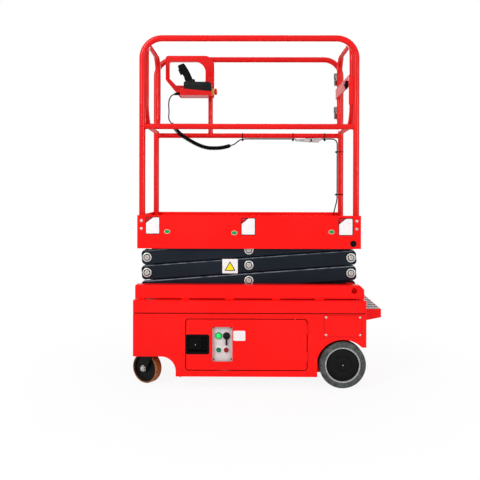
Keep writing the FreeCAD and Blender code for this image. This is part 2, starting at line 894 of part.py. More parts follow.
def drive_wheel(side):
    """Solid tyre with bevelled shoulders, and a pressed rim that is open at its face."""
    z = drive_wheel_radius
    inner = side * (drive_wheel_face - drive_wheel_width)
    outer = side * drive_wheel_face
    step = side * drive_shoulder
    high = drive_wheel_radius
    tyre = turned([
        (inner, drive_rim_radius),
        (inner, high - 2 * drive_shoulder),
        (inner + step / 2, high - drive_shoulder),
        (inner + 2 * step, high),
        (outer - 2 * step, high),
        (outer - step / 2, high - drive_shoulder),
        (outer, high - 2 * drive_shoulder),
        (outer, drive_rim_radius),
    ], wheel_x, z)
    rim_low = drive_wheel_face - drive_wheel_width + drive_rim_depth
    r0, r1 = between(side, rim_low, drive_wheel_face - drive_rim_depth)
    rim = across(drive_rim_radius, wheel_x, z, r0, r1)
    dish = drive_wheel_face - drive_rim_depth - drive_hub_depth
    c0, c1 = between(side, dish, drive_wheel_face)
    rim = rim.cut(across(drive_hub_radius, wheel_x, z, c0, c1))
    h0, h1 = between(side, dish - open_margin, dish + drive_boss_height)
    rim = fuse([rim, across(drive_boss_radius, wheel_x, z, h0, h1)])
    y0, y1 = between(side, rim_low - open_margin, drive_wheel_face)
    return tyre, rim.cut(across(drive_axle_radius + pin_clearance, wheel_x, z, y0, y1))


def drive_units():
    """Gear motors inside the hull, with the axle that each drive wheel turns on."""
    pieces = []
    z = drive_wheel_radius
    wall = well_wall_y - sheet
    for side in sides:
        y0, y1 = between(side, wall - drive_motor_length, wall)
        motor = across(drive_motor_radius, wheel_x, z, y0, y1)
        y0, y1 = between(side, wall - drive_axle_radius, drive_wheel_face - drive_axle_inset)
        axle = across(drive_axle_radius, wheel_x, z, y0, y1)
        y0, y1 = between(side, wall - motor_foot_length, wall)
        foot = box(wheel_x - motor_foot_half, wheel_x + motor_foot_half, y0, y1, chassis_floor_z + sheet, z)
        pieces.append(fuse([motor, axle, foot]))
    return pieces


def caster_turned(shape, side):
    """A caster piece drawn trailing along +X and turned about its swivel."""
    placed = shape.copy()
    placed.rotate(Vector(0, 0, 0), Vector(0, 0, 1), caster_yaw)
    placed.translate(Vector(swivel_x, side * caster_swivel_y, 0))
    return placed


def caster_wheel():
    """Tread ring and hub of a caster, on its axle."""
    half = caster_half_width
    x, z = caster_trail, caster_radius
    core = caster_radius - caster_tread
    flat = half - 2 * caster_shoulder
    tread = turned([
        (-half, core), (-half, caster_radius - caster_shoulder), (-flat, caster_radius),
        (flat, caster_radius), (half, caster_radius - caster_shoulder), (half, core),
    ], x, z)
    rim = across(core, x, z, caster_shoulder - half, half - caster_shoulder)
    for side in sides:
        y0, y1 = between(side, half - caster_rim_depth - caster_shoulder, half)
        rim = rim.cut(across(core - caster_rim_wall, x, z, y0, y1))
    boss = across(caster_boss_radius, x, z, -half, half)
    hub = fuse([rim, boss]).cut(across(caster_axle_radius + pin_clearance, x, z, -half, half))
    return tread, hub


def caster_fork():
    """Top plate, swivel race, crown and two legs, with the axle bolt through them."""
    half = caster_half_width + fork_leg_gap
    outer = half + fork_plate
    x, z = caster_trail, caster_radius
    crown_z = 2 * caster_radius + fork_crown_gap
    crown_top = crown_z + fork_plate
    foot = fork_foot_half
    reach = fork_half_length
    outline = [
        (x - foot, z - foot, fork_foot_round), (x + foot, z - foot, fork_foot_round), (x + foot, z, 0),
        (reach, crown_top, 0), (-reach, crown_top, 0), (x - foot, z, 0),
    ]
    pieces = [box(-reach, reach, -outer, outer, crown_z, crown_top)]
    race_height = caster_mount_z - fork_plate_thickness - pin_clearance - crown_top
    pieces.append(rod_along((0, 0, 1), race_radius, (0, 0, crown_top), race_height))
    pieces.append(across(caster_axle_radius, x, z, -outer, outer))
    for side in sides:
        y0, y1 = between(side, half, outer)
        pieces.append(side_plate(outline, y0, y1))
        y0, y1 = between(side, outer, outer + caster_nut_height)
        pieces.append(across(caster_nut_radius, x, z, y0, y1))
    return fuse(pieces)


def caster_plates():
    """Bolted top plates under the bow, on the chassis."""
    pieces = []
    half = fork_plate_size / 2
    for side in sides:
        y = side * caster_swivel_y
        corners = [(-half, -half), (half, -half), (half, half), (-half, half)]
        outline = [(swivel_x + dx, y + dy, fork_plate_corner) for dx, dy in corners]
        pieces.append(flat_plate(outline, caster_mount_z - fork_plate_thickness, caster_mount_z))
    return pieces


def door(side):
    """Pan door with a folded lip. The near one has the window for the control panel."""
    y0, y1 = between(side, side_face - door_sheet, side_face)
    skin = side_plate(door_outline(door_gap), y0, y1)
    y0, y1 = between(side, side_face - door_lip, side_face)
    inside = side_plate(door_outline(door_gap + door_lip_sheet), y0 - open_margin, y1 + open_margin)
    rim = side_plate(door_outline(door_gap), y0, y1).cut(inside)
    panel = fuse([skin, rim])
    y0, y1 = between(side, side_face - door_lip - open_margin, side_face + open_margin)
    latch_x = door_front_x + latch_from_door
    cuts = [box(latch_x, latch_x + latch_length, y0, y1, latch_low_z, latch_high_z)]
    if side < 0:
        cuts.append(side_plate([
            (window_front_x, window_low_z, window_corner), (window_rear_x, window_low_z, window_corner),
            (window_rear_x, window_high_z, window_corner), (window_front_x, window_high_z, window_corner),
        ], y0, y1))
    pin_y = side * (side_face - knuckle_clearance)
    knuckles = []
    for height in door_hinge_heights:
        cuts.append(knuckle_clear(side, height))
        low = height + knuckle_length + pin_clearance
        high = height + 2 * knuckle_length
        barrel = rod_along((0, 0, 1), knuckle_radius, (door_rear_x, pin_y, low), high - low)
        y0, y1 = between(side, side_face - door_sheet, side_face - knuckle_clearance)
        leaf = box(door_rear_x - door_gap - hinge_leaf, door_rear_x, y0, y1, low, high)
        foot = (door_rear_x, pin_y, height)
        bore = rod_along((0, 0, 1), knuckle_pin_radius + pin_clearance, foot, 2 * knuckle_length)
        knuckles.append(fuse([barrel, leaf]).cut(bore))
    return fuse([panel.cut(cuts)] + knuckles)


def door_hinges():
    """Chassis halves of the door hinges, each with its pin."""
    pieces = []
    for side in sides:
        pin_y = side * (side_face - knuckle_clearance)
        for height in door_hinge_heights:
            top = height + knuckle_length
            barrel = rod_along((0, 0, 1), knuckle_radius, (door_rear_x, pin_y, height), knuckle_length)
            pin = rod_along((0, 0, 1), knuckle_pin_radius, (door_rear_x, pin_y, height), 2 * knuckle_length)
            y0, y1 = between(side, side_face - sheet - hinge_leaf_sheet, side_face - sheet)
            leaf = box(door_rear_x - hinge_web_half, door_rear_x + hinge_leaf, y0, y1, height, top)
            y0, y1 = between(side, side_face - sheet - hinge_leaf_sheet, side_face - knuckle_clearance)
            web = box(door_rear_x - hinge_web_half, door_rear_x + hinge_web_half, y0, y1, height, top)
            pieces.append(fuse([barrel, pin, leaf, web]))
    return pieces


def door_latch(side):
    """Recessed paddle latch: a dished frame with a paddle in it."""
    x0 = door_front_x + latch_from_door
    x1 = x0 + latch_length
    y0, y1 = between(side, side_face - latch_depth, side_face)
    body = box(x0, x1, y0, y1, latch_low_z, latch_high_z)
    floor_y = side_face - latch_depth + latch_floor
    y0, y1 = between(side, floor_y, side_face)
    dish = box(x0 + latch_frame, x1 - latch_frame, y0, y1,
               latch_low_z + latch_frame, latch_high_z - latch_frame)
    y0, y1 = between(side, floor_y, side_face - paddle_drop)
    paddle = box(x0 + paddle_front, x1 - paddle_rear, y0, y1,
                 latch_low_z + paddle_margin, latch_high_z - paddle_margin)
    return fuse([body.cut(dish), paddle])


def panel_box():
    """Lower control box behind the near door's window, on a leg from the floor."""
    x0 = window_front_x - panel_margin
    x1 = window_rear_x + panel_margin
    back = panel_depth - panel_face_y
    floor_z = chassis_floor_z + sheet
    case = box(x0, x1, -panel_face_y, back, window_low_z - panel_margin, window_high_z + panel_margin)
    leg_front = x0 + panel_leg_inset
    leg_rear = x1 - panel_leg_inset
    leg = box(leg_front, leg_rear, back - panel_leg, back, floor_z, window_low_z)
    foot = box(leg_front, leg_rear, back - panel_foot_length, back, floor_z, floor_z + panel_leg)
    return fuse([case, leg, foot])


def panel_controls():
    """Lamp, key switch and two buttons on the lower control box."""
    middle = (window_front_x + window_rear_x) / 2
    face = -panel_face_y
    return [across(radius, middle + x, z, face - reach, face) for x, z, radius, reach in panel_knobs]


def cover_plates():
    """Flat cover over the drive wheel's wiring on each side."""
    x0 = rear_x - cover_front_inset
    x1 = rear_x - cover_rear_inset
    outline = [
        (x0, cover_low_z, cover_corner), (x1, cover_low_z, cover_corner),
        (x1, cover_high_z, cover_corner), (x0, cover_high_z, cover_corner),
    ]
    pieces = []
    for side in sides:
        y0, y1 = between(side, side_face, side_face + cover_sheet)
        pieces.append(side_plate(outline, y0, y1))
    return pieces


def step_frame():
    """Folded step at the rear with two cheeks and a sloping underside."""
    x1 = rear_x + step_reach
    outline = [
        (rear_x, step_top_z, 0), (x1, step_top_z, 0),
        (x1, step_top_z - step_drop_outer, 0), (rear_x, step_top_z - step_drop_inner, 0),
    ]
    body = side_plate(outline, -step_half_width, step_half_width)
    inner = step_half_width - step_side
    pocket = box(rear_x, x1 - step_side, -inner, inner, step_top_z - step_drop_outer + step_side, step_top_z)
    return body.cut(pocket)


def step_tread():
    """Ribbed aluminium tread that closes the step's top."""
    x1 = rear_x + step_reach - step_side
    half = step_half_width - step_side
    rib_low = step_top_z - step_rib
    plate_low = rib_low - step_plate
    pieces = [box(rear_x, x1, -half, half, plate_low, rib_low)]
    back_low = step_top_z - step_drop_outer + step_side
    pieces.append(box(rear_x, rear_x + step_plate, -half, half, back_low, plate_low))
    pitch = (x1 - rear_x) / step_rib_count
    for i in range(step_rib_count):
        start = rear_x + (i + step_rib_share) * pitch
        end = rear_x + (i + 1 - step_rib_share) * pitch
        pieces.append(box(start, end, -half, half, rib_low, step_top_z))
    return fuse(pieces)


def battery():
    """Battery pack and its tray as one block on the chassis floor."""
    floor_z = chassis_floor_z + sheet
    return box(door_front_x + battery_front_gap, door_rear_x - battery_rear_gap, -battery_half_width,
               battery_half_width, floor_z, floor_z + battery_height)


def deck():
    """Deck plate inside the toe-boards."""
    edge = platform_half_width - toe_sheet
    return box(platform_front_x + toe_sheet, platform_rear_x - toe_sheet, -edge, edge, deck_low_z, deck_top_z)


def platform_tracks():
    """Channels under the deck for the upper rollers, cross ribs, and the lugs that hold the rear shaft."""
    pieces = []
    lean = math.radians(rest_angle + lift_angle)
    travel = pin_span - arm_length * math.cos(lean)
    x0 = platform_front_x + toe_sheet
    x1 = left_x + travel + track_spare
    run_low = pin_z[-1] - roller_radius - roller_clearance
    run_high = pin_z[-1] + roller_radius + roller_clearance
    web_low = track_inner_y
    web_high = track_inner_y + track_sheet
    lip = inner_arm_low_y - track_lip_gap
    for side in sides:
        section = [
            (side * web_low, track_low_z, 0), (side * lip, track_low_z, 0), (side * lip, run_low, 0),
            (side * web_high, run_low, 0), (side * web_high, run_high, 0),
            (side * lip, run_high, 0), (side * lip, run_high + track_sheet, 0),
            (side * web_high, run_high + track_sheet, 0),
            (side * web_high, deck_low_z, 0), (side * web_low, deck_low_z, 0),
        ]
        pieces.append(end_section(section, x0, x1))
        y0, y1 = between(side, lug_face_y, lug_face_y + lug_thickness)
        lug_low = pin_z[-1] - lug_below_pin
        outline = [
            (right_x - lug_half_width, deck_low_z, 0), (right_x - lug_half_width, lug_low, lug_corner),
            (right_x + lug_half_width, lug_low, lug_corner), (right_x + lug_half_width, deck_low_z, 0),
        ]
        lug = side_plate(outline, y0, y1)
        pieces.append(lug.cut(across(pin_radius + pin_clearance, right_x, pin_z[-1], y0, y1)))
    for share in rib_shares:
        middle = platform_front_x + share * platform_length
        pieces.append(box(middle, middle + deck_sheet, -rib_half_width, rib_half_width,
                          deck_low_z - rib_height, deck_low_z))
    return pieces


def toe_board(side):
    """Side toe-board, with the access hole to the rear shaft."""
    y0, y1 = between(side, platform_half_width - toe_sheet, platform_half_width)
    board = box(platform_front_x, platform_rear_x, y0, y1, toe_low_z, toe_high_z)
    return board.cut(across(toe_hole_radius, platform_rear_x - toe_hole_inset, toe_hole_z, y0, y1))


def toe_ends():
    """Toe-boards across the two ends."""
    edge = platform_half_width - toe_sheet
    front = box(platform_front_x, platform_front_x + toe_sheet, -edge, edge, toe_low_z, toe_high_z)
    rear = box(platform_rear_x - toe_sheet, platform_rear_x, -edge, edge, toe_low_z, toe_rear_high_z)
    return [front, rear]


def side_rail(side):
    """One bent tube for both posts and the top rail, with the mid rail welded between the posts."""
    y = side * rail_plane_y
    hoop = bent_tube([
        (front_post_x, y, deck_top_z, 0), (front_post_x, y, top_rail_z, rail_bend),
        (rear_post_x, y, top_rail_z, rail_bend), (rear_post_x, y, deck_top_z, 0),
    ], rail_tube_radius)
    mid = rod_along((1, 0, 0), mid_tube_radius, (front_post_x, y, mid_rail_z), rear_post_x - front_post_x)
    if side > 0:
        foot = (stand_x + strut_along, y, mid_rail_z)
        strut = rod_along((0, 0, 1), strut_radius, foot, top_rail_z - mid_rail_z)
        return fuse([hoop, mid, strut])
    keeper_top = loop_low_z + keeper_top_share * loop_height
    keeper_rear = rear_post_x - rail_tube_radius / 2
    keeper = box(keeper_rear - keeper_reach - rail_tube_radius / 2, keeper_rear, y - keeper_sheet / 2,
                 y + keeper_sheet / 2, keeper_top - keeper_height, keeper_top)
    return fuse([hoop, mid, keeper])


def end_loop(x, stile_y):
    """A closed bent loop across an end, between mid rail and top rail."""
    return bent_tube([
        (x, 0, loop_low_z, 0),
        (x, stile_y, loop_low_z, loop_bend), (x, stile_y, top_rail_z, loop_bend),
        (x, -stile_y, top_rail_z, loop_bend), (x, -stile_y, loop_low_z, loop_bend),
    ], rail_tube_radius, True)


def gate_hinge_z(share):
    """Middle height of a gate hinge."""
    return loop_low_z + share * loop_height


def gate_loop():
    """Swinging gate loop with the halves of its hinges."""
    pieces = [end_loop(gate_x, gate_stile_y)]
    bores = []
    half = hinge_strap / 2
    for share in gate_hinge_shares:
        low = gate_hinge_z(share) + pin_clearance
        high = gate_hinge_z(share) + hinge_barrel_length / 2
        pieces.append(rod_along((0, 0, 1), hinge_barrel_radius, (hinge_x, hinge_y, low), high - low))
        pieces.append(box(hinge_x - half, hinge_x + half, gate_stile_y - half, hinge_y, low, high))
        pieces.append(box(hinge_x - half, gate_x - half, gate_stile_y - half, gate_stile_y + half, low, high))
        foot = (hinge_x, hinge_y, low)
        bores.append(rod_along((0, 0, 1), hinge_pin_radius + pin_clearance, foot, high - low))
    return fuse(pieces).cut(bores)


def gate_hinges():
    """Post halves of the gate hinges, each with its pin."""
    pieces = []
    half = hinge_strap / 2
    strap_low_y = rail_plane_y - hinge_strap_margin - hinge_strap
    for share in gate_hinge_shares:
        middle = gate_hinge_z(share)
        low = middle - hinge_barrel_length / 2
        barrel = rod_along((0, 0, 1), hinge_barrel_radius, (hinge_x, hinge_y, low), hinge_barrel_length / 2)
        pin = rod_along((0, 0, 1), hinge_pin_radius, (hinge_x, hinge_y, low), hinge_barrel_length)
        web = box(hinge_x - half, hinge_x + half, hinge_y, strap_low_y + hinge_strap, low, middle)
        strap = box(hinge_x - half, rear_post_x, strap_low_y, strap_low_y + hinge_strap, low, middle)
        post = rod_along((0, 0, 1), rail_tube_radius + pin_clearance, (rear_post_x, rail_plane_y, low),
                         hinge_barrel_length)
        pieces.append(fuse([barrel, pin, web, strap.cut(post)]))
    return pieces


def gate_bar():
    """Flat latch bar across the gate, on the side of the deck."""
    middle = loop_low_z + latch_bar_share * loop_height
    reach = gate_stile_y + latch_bar_end
    x = gate_x - rail_tube_radius
    half = latch_bar_height / 2
    return box(x - latch_bar_sheet, x, -reach, reach, middle - half, middle + half)


def control_stand():
    """Frame cut from plate that hangs on the far rail, with a wedge tray for the control box."""
    def plate(table, y0, y1):
        outline = [(stand_x + along, stand_top_z - down, radius) for along, down, radius in table]
        return side_plate(outline, y0, y1)

    frame = plate(stand_outline, stand_face_y, stand_back_y)
    frame = frame.cut(plate(stand_opening, stand_face_y, stand_back_y))
    tray_end = tray_x + tray_length
    floor = box(tray_x, tray_end, tray_near_y, stand_face_y, tray_floor_z, tray_floor_z + tray_sheet)
    wedge = side_plate([
        (tray_x, tray_floor_z, 0), (tray_end, tray_floor_z, 0),
        (tray_end, tray_floor_z + tray_rear_height, 0), (tray_x, tray_floor_z + tray_front_height, 0),
    ], tray_near_y, tray_near_y + tray_sheet)
    return fuse([frame, floor, wedge])


def on_tray(table, y0, y1):
    """A prism above the tray's floor, from an outline of along, above, radius."""
    level = tray_floor_z + tray_sheet
    return side_plate([(tray_x + along, level + above, radius) for along, above, radius in table], y0, y1)


def controller():
    """Control box in the tray, with its joystick and the boot that the cord leaves by."""
    case = on_tray(box_outline, box_near_y, box_far_y)
    grip = on_tray(grip_outline, box_middle_y - grip_half_width, box_middle_y + grip_half_width)
    front = tray_x + box_outline[0][0]
    boot_z = tray_floor_z + tray_sheet + boot_above_floor
    start = Vector(front, box_middle_y, boot_z)
    boot = Part.makeCone(boot_radius, boot_tip_radius, boot_length, start, Vector(-1, 0, 0))
    return fuse([case, grip, boot])


def emergency_stop():
    """Red mushroom button on the rear end of the control box."""
    x = tray_x + box_outline[-1][0]
    z = tray_floor_z + tray_sheet + stop_above_floor
    collar = rod_along((1, 0, 0), stop_collar_radius, (x, box_middle_y, z), stop_collar)
    head = rod_along((1, 0, 0), stop_head_radius, (x + stop_collar, box_middle_y, z), stop_head)
    return fuse([collar, head])


def route_points(table, level):
    """Places on a route, from along, inside, above."""
    return [Vector(stand_x + along, rail_plane_y - inside, level + above) for along, inside, above in table]


def cord_tube(name, places, diameter):
    """A cord's tube on its route, with each arc as large as its two runs allow."""
    points = [(places[0].x, places[0].y, places[0].z, 0)]
    for before, place, after in zip(places, places[1:], places[2:]):
        run_in = place - before
        run_out = after - place
        turn = run_in.getAngle(run_out)
        radius = cord_bend_share * min(run_in.Length, run_out.Length) / math.tan(turn / 2)
        print(name, "radius", round(radius, 1), "diameters", round(radius / diameter, 1))
        points.append((place.x, place.y, place.z, radius))
    points.append((places[-1].x, places[-1].y, places[-1].z, 0))
    return bent_tube(points, diameter / 2)


def stand_lead():
    """Thin ends of the hanging cord: boot to curls, and curls to the first tie."""
    below_top = [(along, inside, -below) for along, inside, below in exit_route]
    upper = route_points(below_top, stand_top_z) + route_points(curl_lead, mid_rail_z)
    lower = route_points(tie_route, mid_rail_z)
    return [cord_tube("upper lead", upper, cord_diameter), cord_tube("lower lead", lower, cord_diameter)]


def curly_cord():
    """Outer shape of the curled stretch."""
    return cord_tube("curls", route_points(curl_route, mid_rail_z), curl_diameter)


def rail_lead():
    """Lead tied under the far mid rail and down the rear post, with the connector part way."""
    start = stand_x + tie_route[-1][0]
    plug_x = stand_x + plug_along
    first = rod_along((1, 0, 0), cord_diameter / 2, (start, rail_lead_y, rail_lead_z), plug_x - start)
    socket_end = plug_x + plug_length + plug_joint + socket_length
    second = bent_tube([
        (socket_end, rail_lead_y, rail_lead_z, 0),
        (post_lead_x, rail_lead_y, rail_lead_z, lead_bend),
        (post_lead_x, rail_lead_y, lead_elbow_z, lead_foot_bend),
        (post_lead_x - lead_knee_out, rail_lead_y, lead_knee_z, lead_foot_bend),
        (post_lead_x - lead_foot_out, rail_lead_y, deck_top_z + lead_end_gap, 0),
    ], cord_diameter / 2)
    return [first, second]


def cord_plug():
    """Connector in the lead: plug, joint ring and socket."""
    middle_z = rail_lead_z - plug_drop
    ends = [
        # from the plug's end, length
        (0.0, plug_length),
        (plug_length + plug_joint, socket_length),
    ]
    pieces = []
    for start, length in ends:
        x0 = stand_x + plug_along + start
        section = [
            (rail_lead_y - plug_half, middle_z - plug_half, plug_corner),
            (rail_lead_y + plug_half, middle_z - plug_half, plug_corner),
            (rail_lead_y + plug_half, middle_z + plug_half, plug_corner),
            (rail_lead_y - plug_half, middle_z + plug_half, plug_corner),
        ]
        pieces.append(end_section(section, x0, x0 + length))
    x0 = stand_x + plug_along + plug_length
    joint = rod_along((1, 0, 0), plug_joint_radius, (x0, rail_lead_y, middle_z), plug_joint)
    return fuse(pieces + [joint])


def tie_band(direction, base, tube_centre, tube_radius, lead_centre, slack=0.0):
    """A cable tie round a rail tube and the lead."""
    outer = []
    inner = []
    for centre, radius in ((tube_centre, tube_radius), (lead_centre, cord_diameter / 2 + slack)):
        place = base + centre
        outer.append(rod_along(direction, radius + pin_clearance + tie_sheet, tuple(place), tie_width))
        inner.append(rod_along(direction, radius + pin_clearance, tuple(place), tie_width))
    return fuse(outer).cut(inner)


def cord_ties():
    """Cable ties on the mid rail and the rear post, and the grommet in the deck."""
    along, inside, above = first_tie
    pieces = [tie_band(
        (1, 0, 0), Vector(stand_x + along - tie_width / 2, 0, 0), Vector(0, rail_plane_y, mid_rail_z),
        mid_tube_radius, Vector(0, rail_plane_y - inside, mid_rail_z + above), first_tie_slack)]
    for along in rail_ties_along:
        pieces.append(tie_band(
            (1, 0, 0), Vector(stand_x + along - tie_width / 2, 0, 0), Vector(0, rail_plane_y, mid_rail_z),
            mid_tube_radius, Vector(0, rail_lead_y, rail_lead_z)))
    for height in post_tie_heights:
        pieces.append(tie_band(
            (0, 0, 1), Vector(0, 0, height), Vector(rear_post_x, rail_plane_y, 0),
            rail_tube_radius, Vector(post_lead_x, rail_lead_y, 0)))
    x = post_lead_x - lead_foot_out
    ring = rod_along((0, 0, 1), grommet_radius, (x, rail_lead_y, deck_top_z), grommet_height)
    bore_radius = cord_diameter / 2 + pin_clearance + tie_sheet
    bore = rod_along((0, 0, 1), bore_radius, (x, rail_lead_y, deck_top_z), grommet_height)
    pieces.append(ring.cut(bore))
    return pieces


def main():
    os.makedirs("parts", exist_ok=True)
    save("chassis_shell", [chassis_shell()])
    save("chassis_top", [chassis_top()])
    save("track_channels", track_channels())
    save("base_pivots", base_pivots())
    save("battery", [battery()])
    save("drive_units", drive_units())
    save("caster_plates", caster_plates())
    save("cover_plates", cover_plates())
    save("panel_box", [panel_box()])
    save("panel_controls", panel_controls())
    save("step_frame", [step_frame()])
    save("step_tread", [step_tread()])
    save("door_hinges", door_hinges())
    for side, name in ((-1, "near"), (1, "far")):
        save("door_" + name, [door(side)])
        save("latch_" + name, [door_latch(side)])
        tyre, rim = drive_wheel(side)
        save("tyre_" + name, [tyre])
        save("rim_" + name, [rim])
        tread, hub = caster_wheel()
        save("caster_fork_" + name, [caster_turned(caster_fork(), side)])
        save("caster_tread_" + name, [caster_turned(tread, side)])
        save("caster_hub_" + name, [caster_turned(hub, side)])
        save("toe_board_" + name, [toe_board(side)])
        save("rail_" + name, [side_rail(side)])
    for level in range(level_count):
        save("inner_arms_%d" % (level + 1), inner_arms(level))
        save("outer_arms_%d" % (level + 1), outer_arms(level))
        save("outer_pins_%d" % (level + 1), outer_pins(level))
    save("lower_rollers", rollers(left_x, pin_z[0], lower_roller_low_y, lower_roller_width))
    save("upper_rollers", rollers(left_x, pin_z[-1], upper_roller_low_y, upper_roller_width))
    save("cylinder_barrel", [cylinder_barrel()])
    save("cylinder_rod", [cylinder_rod()])
    save("deck", [deck()])
    save("platform_tracks", platform_tracks())
    save("toe_ends", toe_ends())
    save("front_loop", [end_loop(front_post_x + loop_inset_x, fixed_stile_y)])
    save("gate_loop", [gate_loop()])
    save("gate_hinges", gate_hinges())
    save("gate_bar", [gate_bar()])
    save("control_stand", [control_stand()])
    save("controller", [controller()])
    save("emergency_stop", [emergency_stop()])
    save("stand_lead", stand_lead())
    save("curly_cord", [curly_cord()])
    save("rail_lead", rail_lead())
    save("cord_plug", [cord_plug()])
    save("cord_ties", cord_ties())


main()
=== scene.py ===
import contextlib
import itertools
import math

import bmesh
import bpy
from mathutils import Matrix, Vector


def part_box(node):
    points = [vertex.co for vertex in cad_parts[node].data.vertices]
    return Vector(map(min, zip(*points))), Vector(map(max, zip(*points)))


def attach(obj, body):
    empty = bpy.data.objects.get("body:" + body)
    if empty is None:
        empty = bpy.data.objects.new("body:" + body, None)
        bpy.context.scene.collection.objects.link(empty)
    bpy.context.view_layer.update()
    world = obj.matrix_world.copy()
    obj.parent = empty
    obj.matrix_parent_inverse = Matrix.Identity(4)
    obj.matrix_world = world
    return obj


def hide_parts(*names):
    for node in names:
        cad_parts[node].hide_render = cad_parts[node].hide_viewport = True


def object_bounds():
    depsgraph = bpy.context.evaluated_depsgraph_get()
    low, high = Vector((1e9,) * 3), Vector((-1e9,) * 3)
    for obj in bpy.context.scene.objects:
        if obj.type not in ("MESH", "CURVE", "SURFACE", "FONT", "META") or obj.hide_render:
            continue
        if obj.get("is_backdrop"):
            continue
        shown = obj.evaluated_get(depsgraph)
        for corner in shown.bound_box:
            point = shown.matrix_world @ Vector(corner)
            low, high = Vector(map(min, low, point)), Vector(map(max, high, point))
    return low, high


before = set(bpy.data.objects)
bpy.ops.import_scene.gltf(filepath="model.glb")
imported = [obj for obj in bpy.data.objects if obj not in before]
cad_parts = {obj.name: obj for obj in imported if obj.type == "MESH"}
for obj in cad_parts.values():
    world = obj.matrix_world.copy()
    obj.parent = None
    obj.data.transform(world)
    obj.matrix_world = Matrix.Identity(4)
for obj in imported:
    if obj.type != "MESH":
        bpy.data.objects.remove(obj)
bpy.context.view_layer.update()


# The studio. The camera stands on the machine's near side, 3.6 m from its middle, 1 m up and nearly level,
# and its small shift keeps the rails and the wheels in one square picture. The floor is plain white card.
class Shade:
    """One output of a node, so that sums, products and mixes of it are written as plain Python."""

    def __init__(self, tree, socket):
        self.tree = tree
        self.socket = socket

    def node(self, kind, settings, inputs, output=0):
        """Adds a node of that kind, makes its settings, then fills its sockets with values or links."""
        made = self.tree.nodes.new(kind)
        for name, value in settings.items():
            setattr(made, name, value)
        for key, value in inputs.items():
            if isinstance(value, Shade):
                self.tree.links.new(value.socket, made.inputs[key])
            else:
                made.inputs[key].default_value = value
        return Shade(self.tree, made.outputs[output])

    def maths(self, operation, *values):
        return self.node("ShaderNodeMath", {"operation": operation}, dict(enumerate(values)))

    def __add__(self, other):
        return self.maths("ADD", self, other)

    def __radd__(self, other):
        return self.maths("ADD", other, self)

    def __sub__(self, other):
        return self.maths("SUBTRACT", self, other)

    def __rsub__(self, other):
        return self.maths("SUBTRACT", other, self)

    def __mul__(self, other):
        return self.maths("MULTIPLY", self, other)

    def __rmul__(self, other):
        return self.maths("MULTIPLY", other, self)

    def highest(self, other):
        return self.maths("MAXIMUM", self, other)

    def step(self, low, high):
        """0 below low and 1 above high, with a soft change between them."""
        inputs = {"Value": self, "From Min": low, "From Max": high}
        return self.node("ShaderNodeMapRange", {"interpolation_type": "SMOOTHSTEP"}, inputs)

    def tones(self, low, high):
        """The colour low where this is 0 and high where it is 1."""
        return self.node("ShaderNodeMix", {"data_type": "RGBA"}, {0: self, 6: low, 7: high}, 2)

    def grain(self, scale, detail=2.0, rough=0.5):
        """Cloudy noise over this place, with that many lumps to a metre."""
        inputs = {"Vector": self, "Scale": scale, "Detail": detail, "Roughness": rough}
        return self.node("ShaderNodeTexNoise", {}, inputs)

    def stretched(self, x, y, z):
        """This place with each axis multiplied, so that noise over it is drawn out into streaks."""
        return self.node("ShaderNodeMapping", {}, {"Vector": self, "Scale": (x, y, z)})

    def axis(self, name):
        return self.node("ShaderNodeSeparateXYZ", {}, {0: self}, "XYZ".index(name))

    def relief(self, strength, height):
        """The surface's direction where this is a height, that many metres from lowest to highest."""
        inputs = {"Strength": strength, "Distance": height, "Height": self}
        return self.node("ShaderNodeBump", {}, inputs)


def deselect():
    """Operators act on all that is selected, and the frame arrives selected."""
    bpy.ops.object.select_all(action="DESELECT")


deselect()
bpy.ops.object.camera_add(
    location=(-0.0694, -3.588, 1.002),
    rotation=[math.radians(turn) for turn in (89.7, -0.13, 0.38)],
)
camera = bpy.context.object
camera.data.lens = 47.2
camera.data.shift_y = -0.0917
bpy.context.scene.camera = camera
bpy.context.scene.view_settings.view_transform = "Standard"


def lamp(name, place, aim, wide, power):
    """A soft square lamp of that width, turned towards a point."""
    deselect()
    turn = (Vector(aim) - Vector(place)).to_track_quat("-Z", "Y").to_euler()
    bpy.ops.object.light_add(type="AREA", location=place, rotation=turn)
    made = bpy.context.object
    made.name = name
    made.data.size = wide
    made.data.energy = power


machine_middle = (0.0, 0.0, 0.9)
lamp("key_lamp", (-2.2, -3.4, 3.4), machine_middle, 1.5, 84)
lamp("fill_lamp", (3.0, -3.2, 1.6), machine_middle, 1.5, 42)
lamp("back_lamp", (0.6, 3.6, 3.0), machine_middle, 2.6, 55)
lamp("rail_lamp", (-2.3, -3.2, 2.1), (-0.5, 0.0, 1.6), 0.4, 16)

world = bpy.data.worlds.new("white_room")
bpy.context.scene.world = world
world.use_nodes = True
room = world.node_tree.nodes["Background"]
room.inputs["Color"].default_value = (1.0, 1.0, 1.0, 1.0)
ray = world.node_tree.nodes.new("ShaderNodeLightPath")
seen = Shade(world.node_tree, ray.outputs["Is Camera Ray"])
for sort in ("Is Glossy Ray", "Is Transmission Ray"):
    seen = seen.highest(Shade(world.node_tree, ray.outputs[sort]))
room_light = 0.6
strength = room_light + (1.0 - room_light) * seen
world.node_tree.links.new(strength.socket, room.inputs["Strength"])

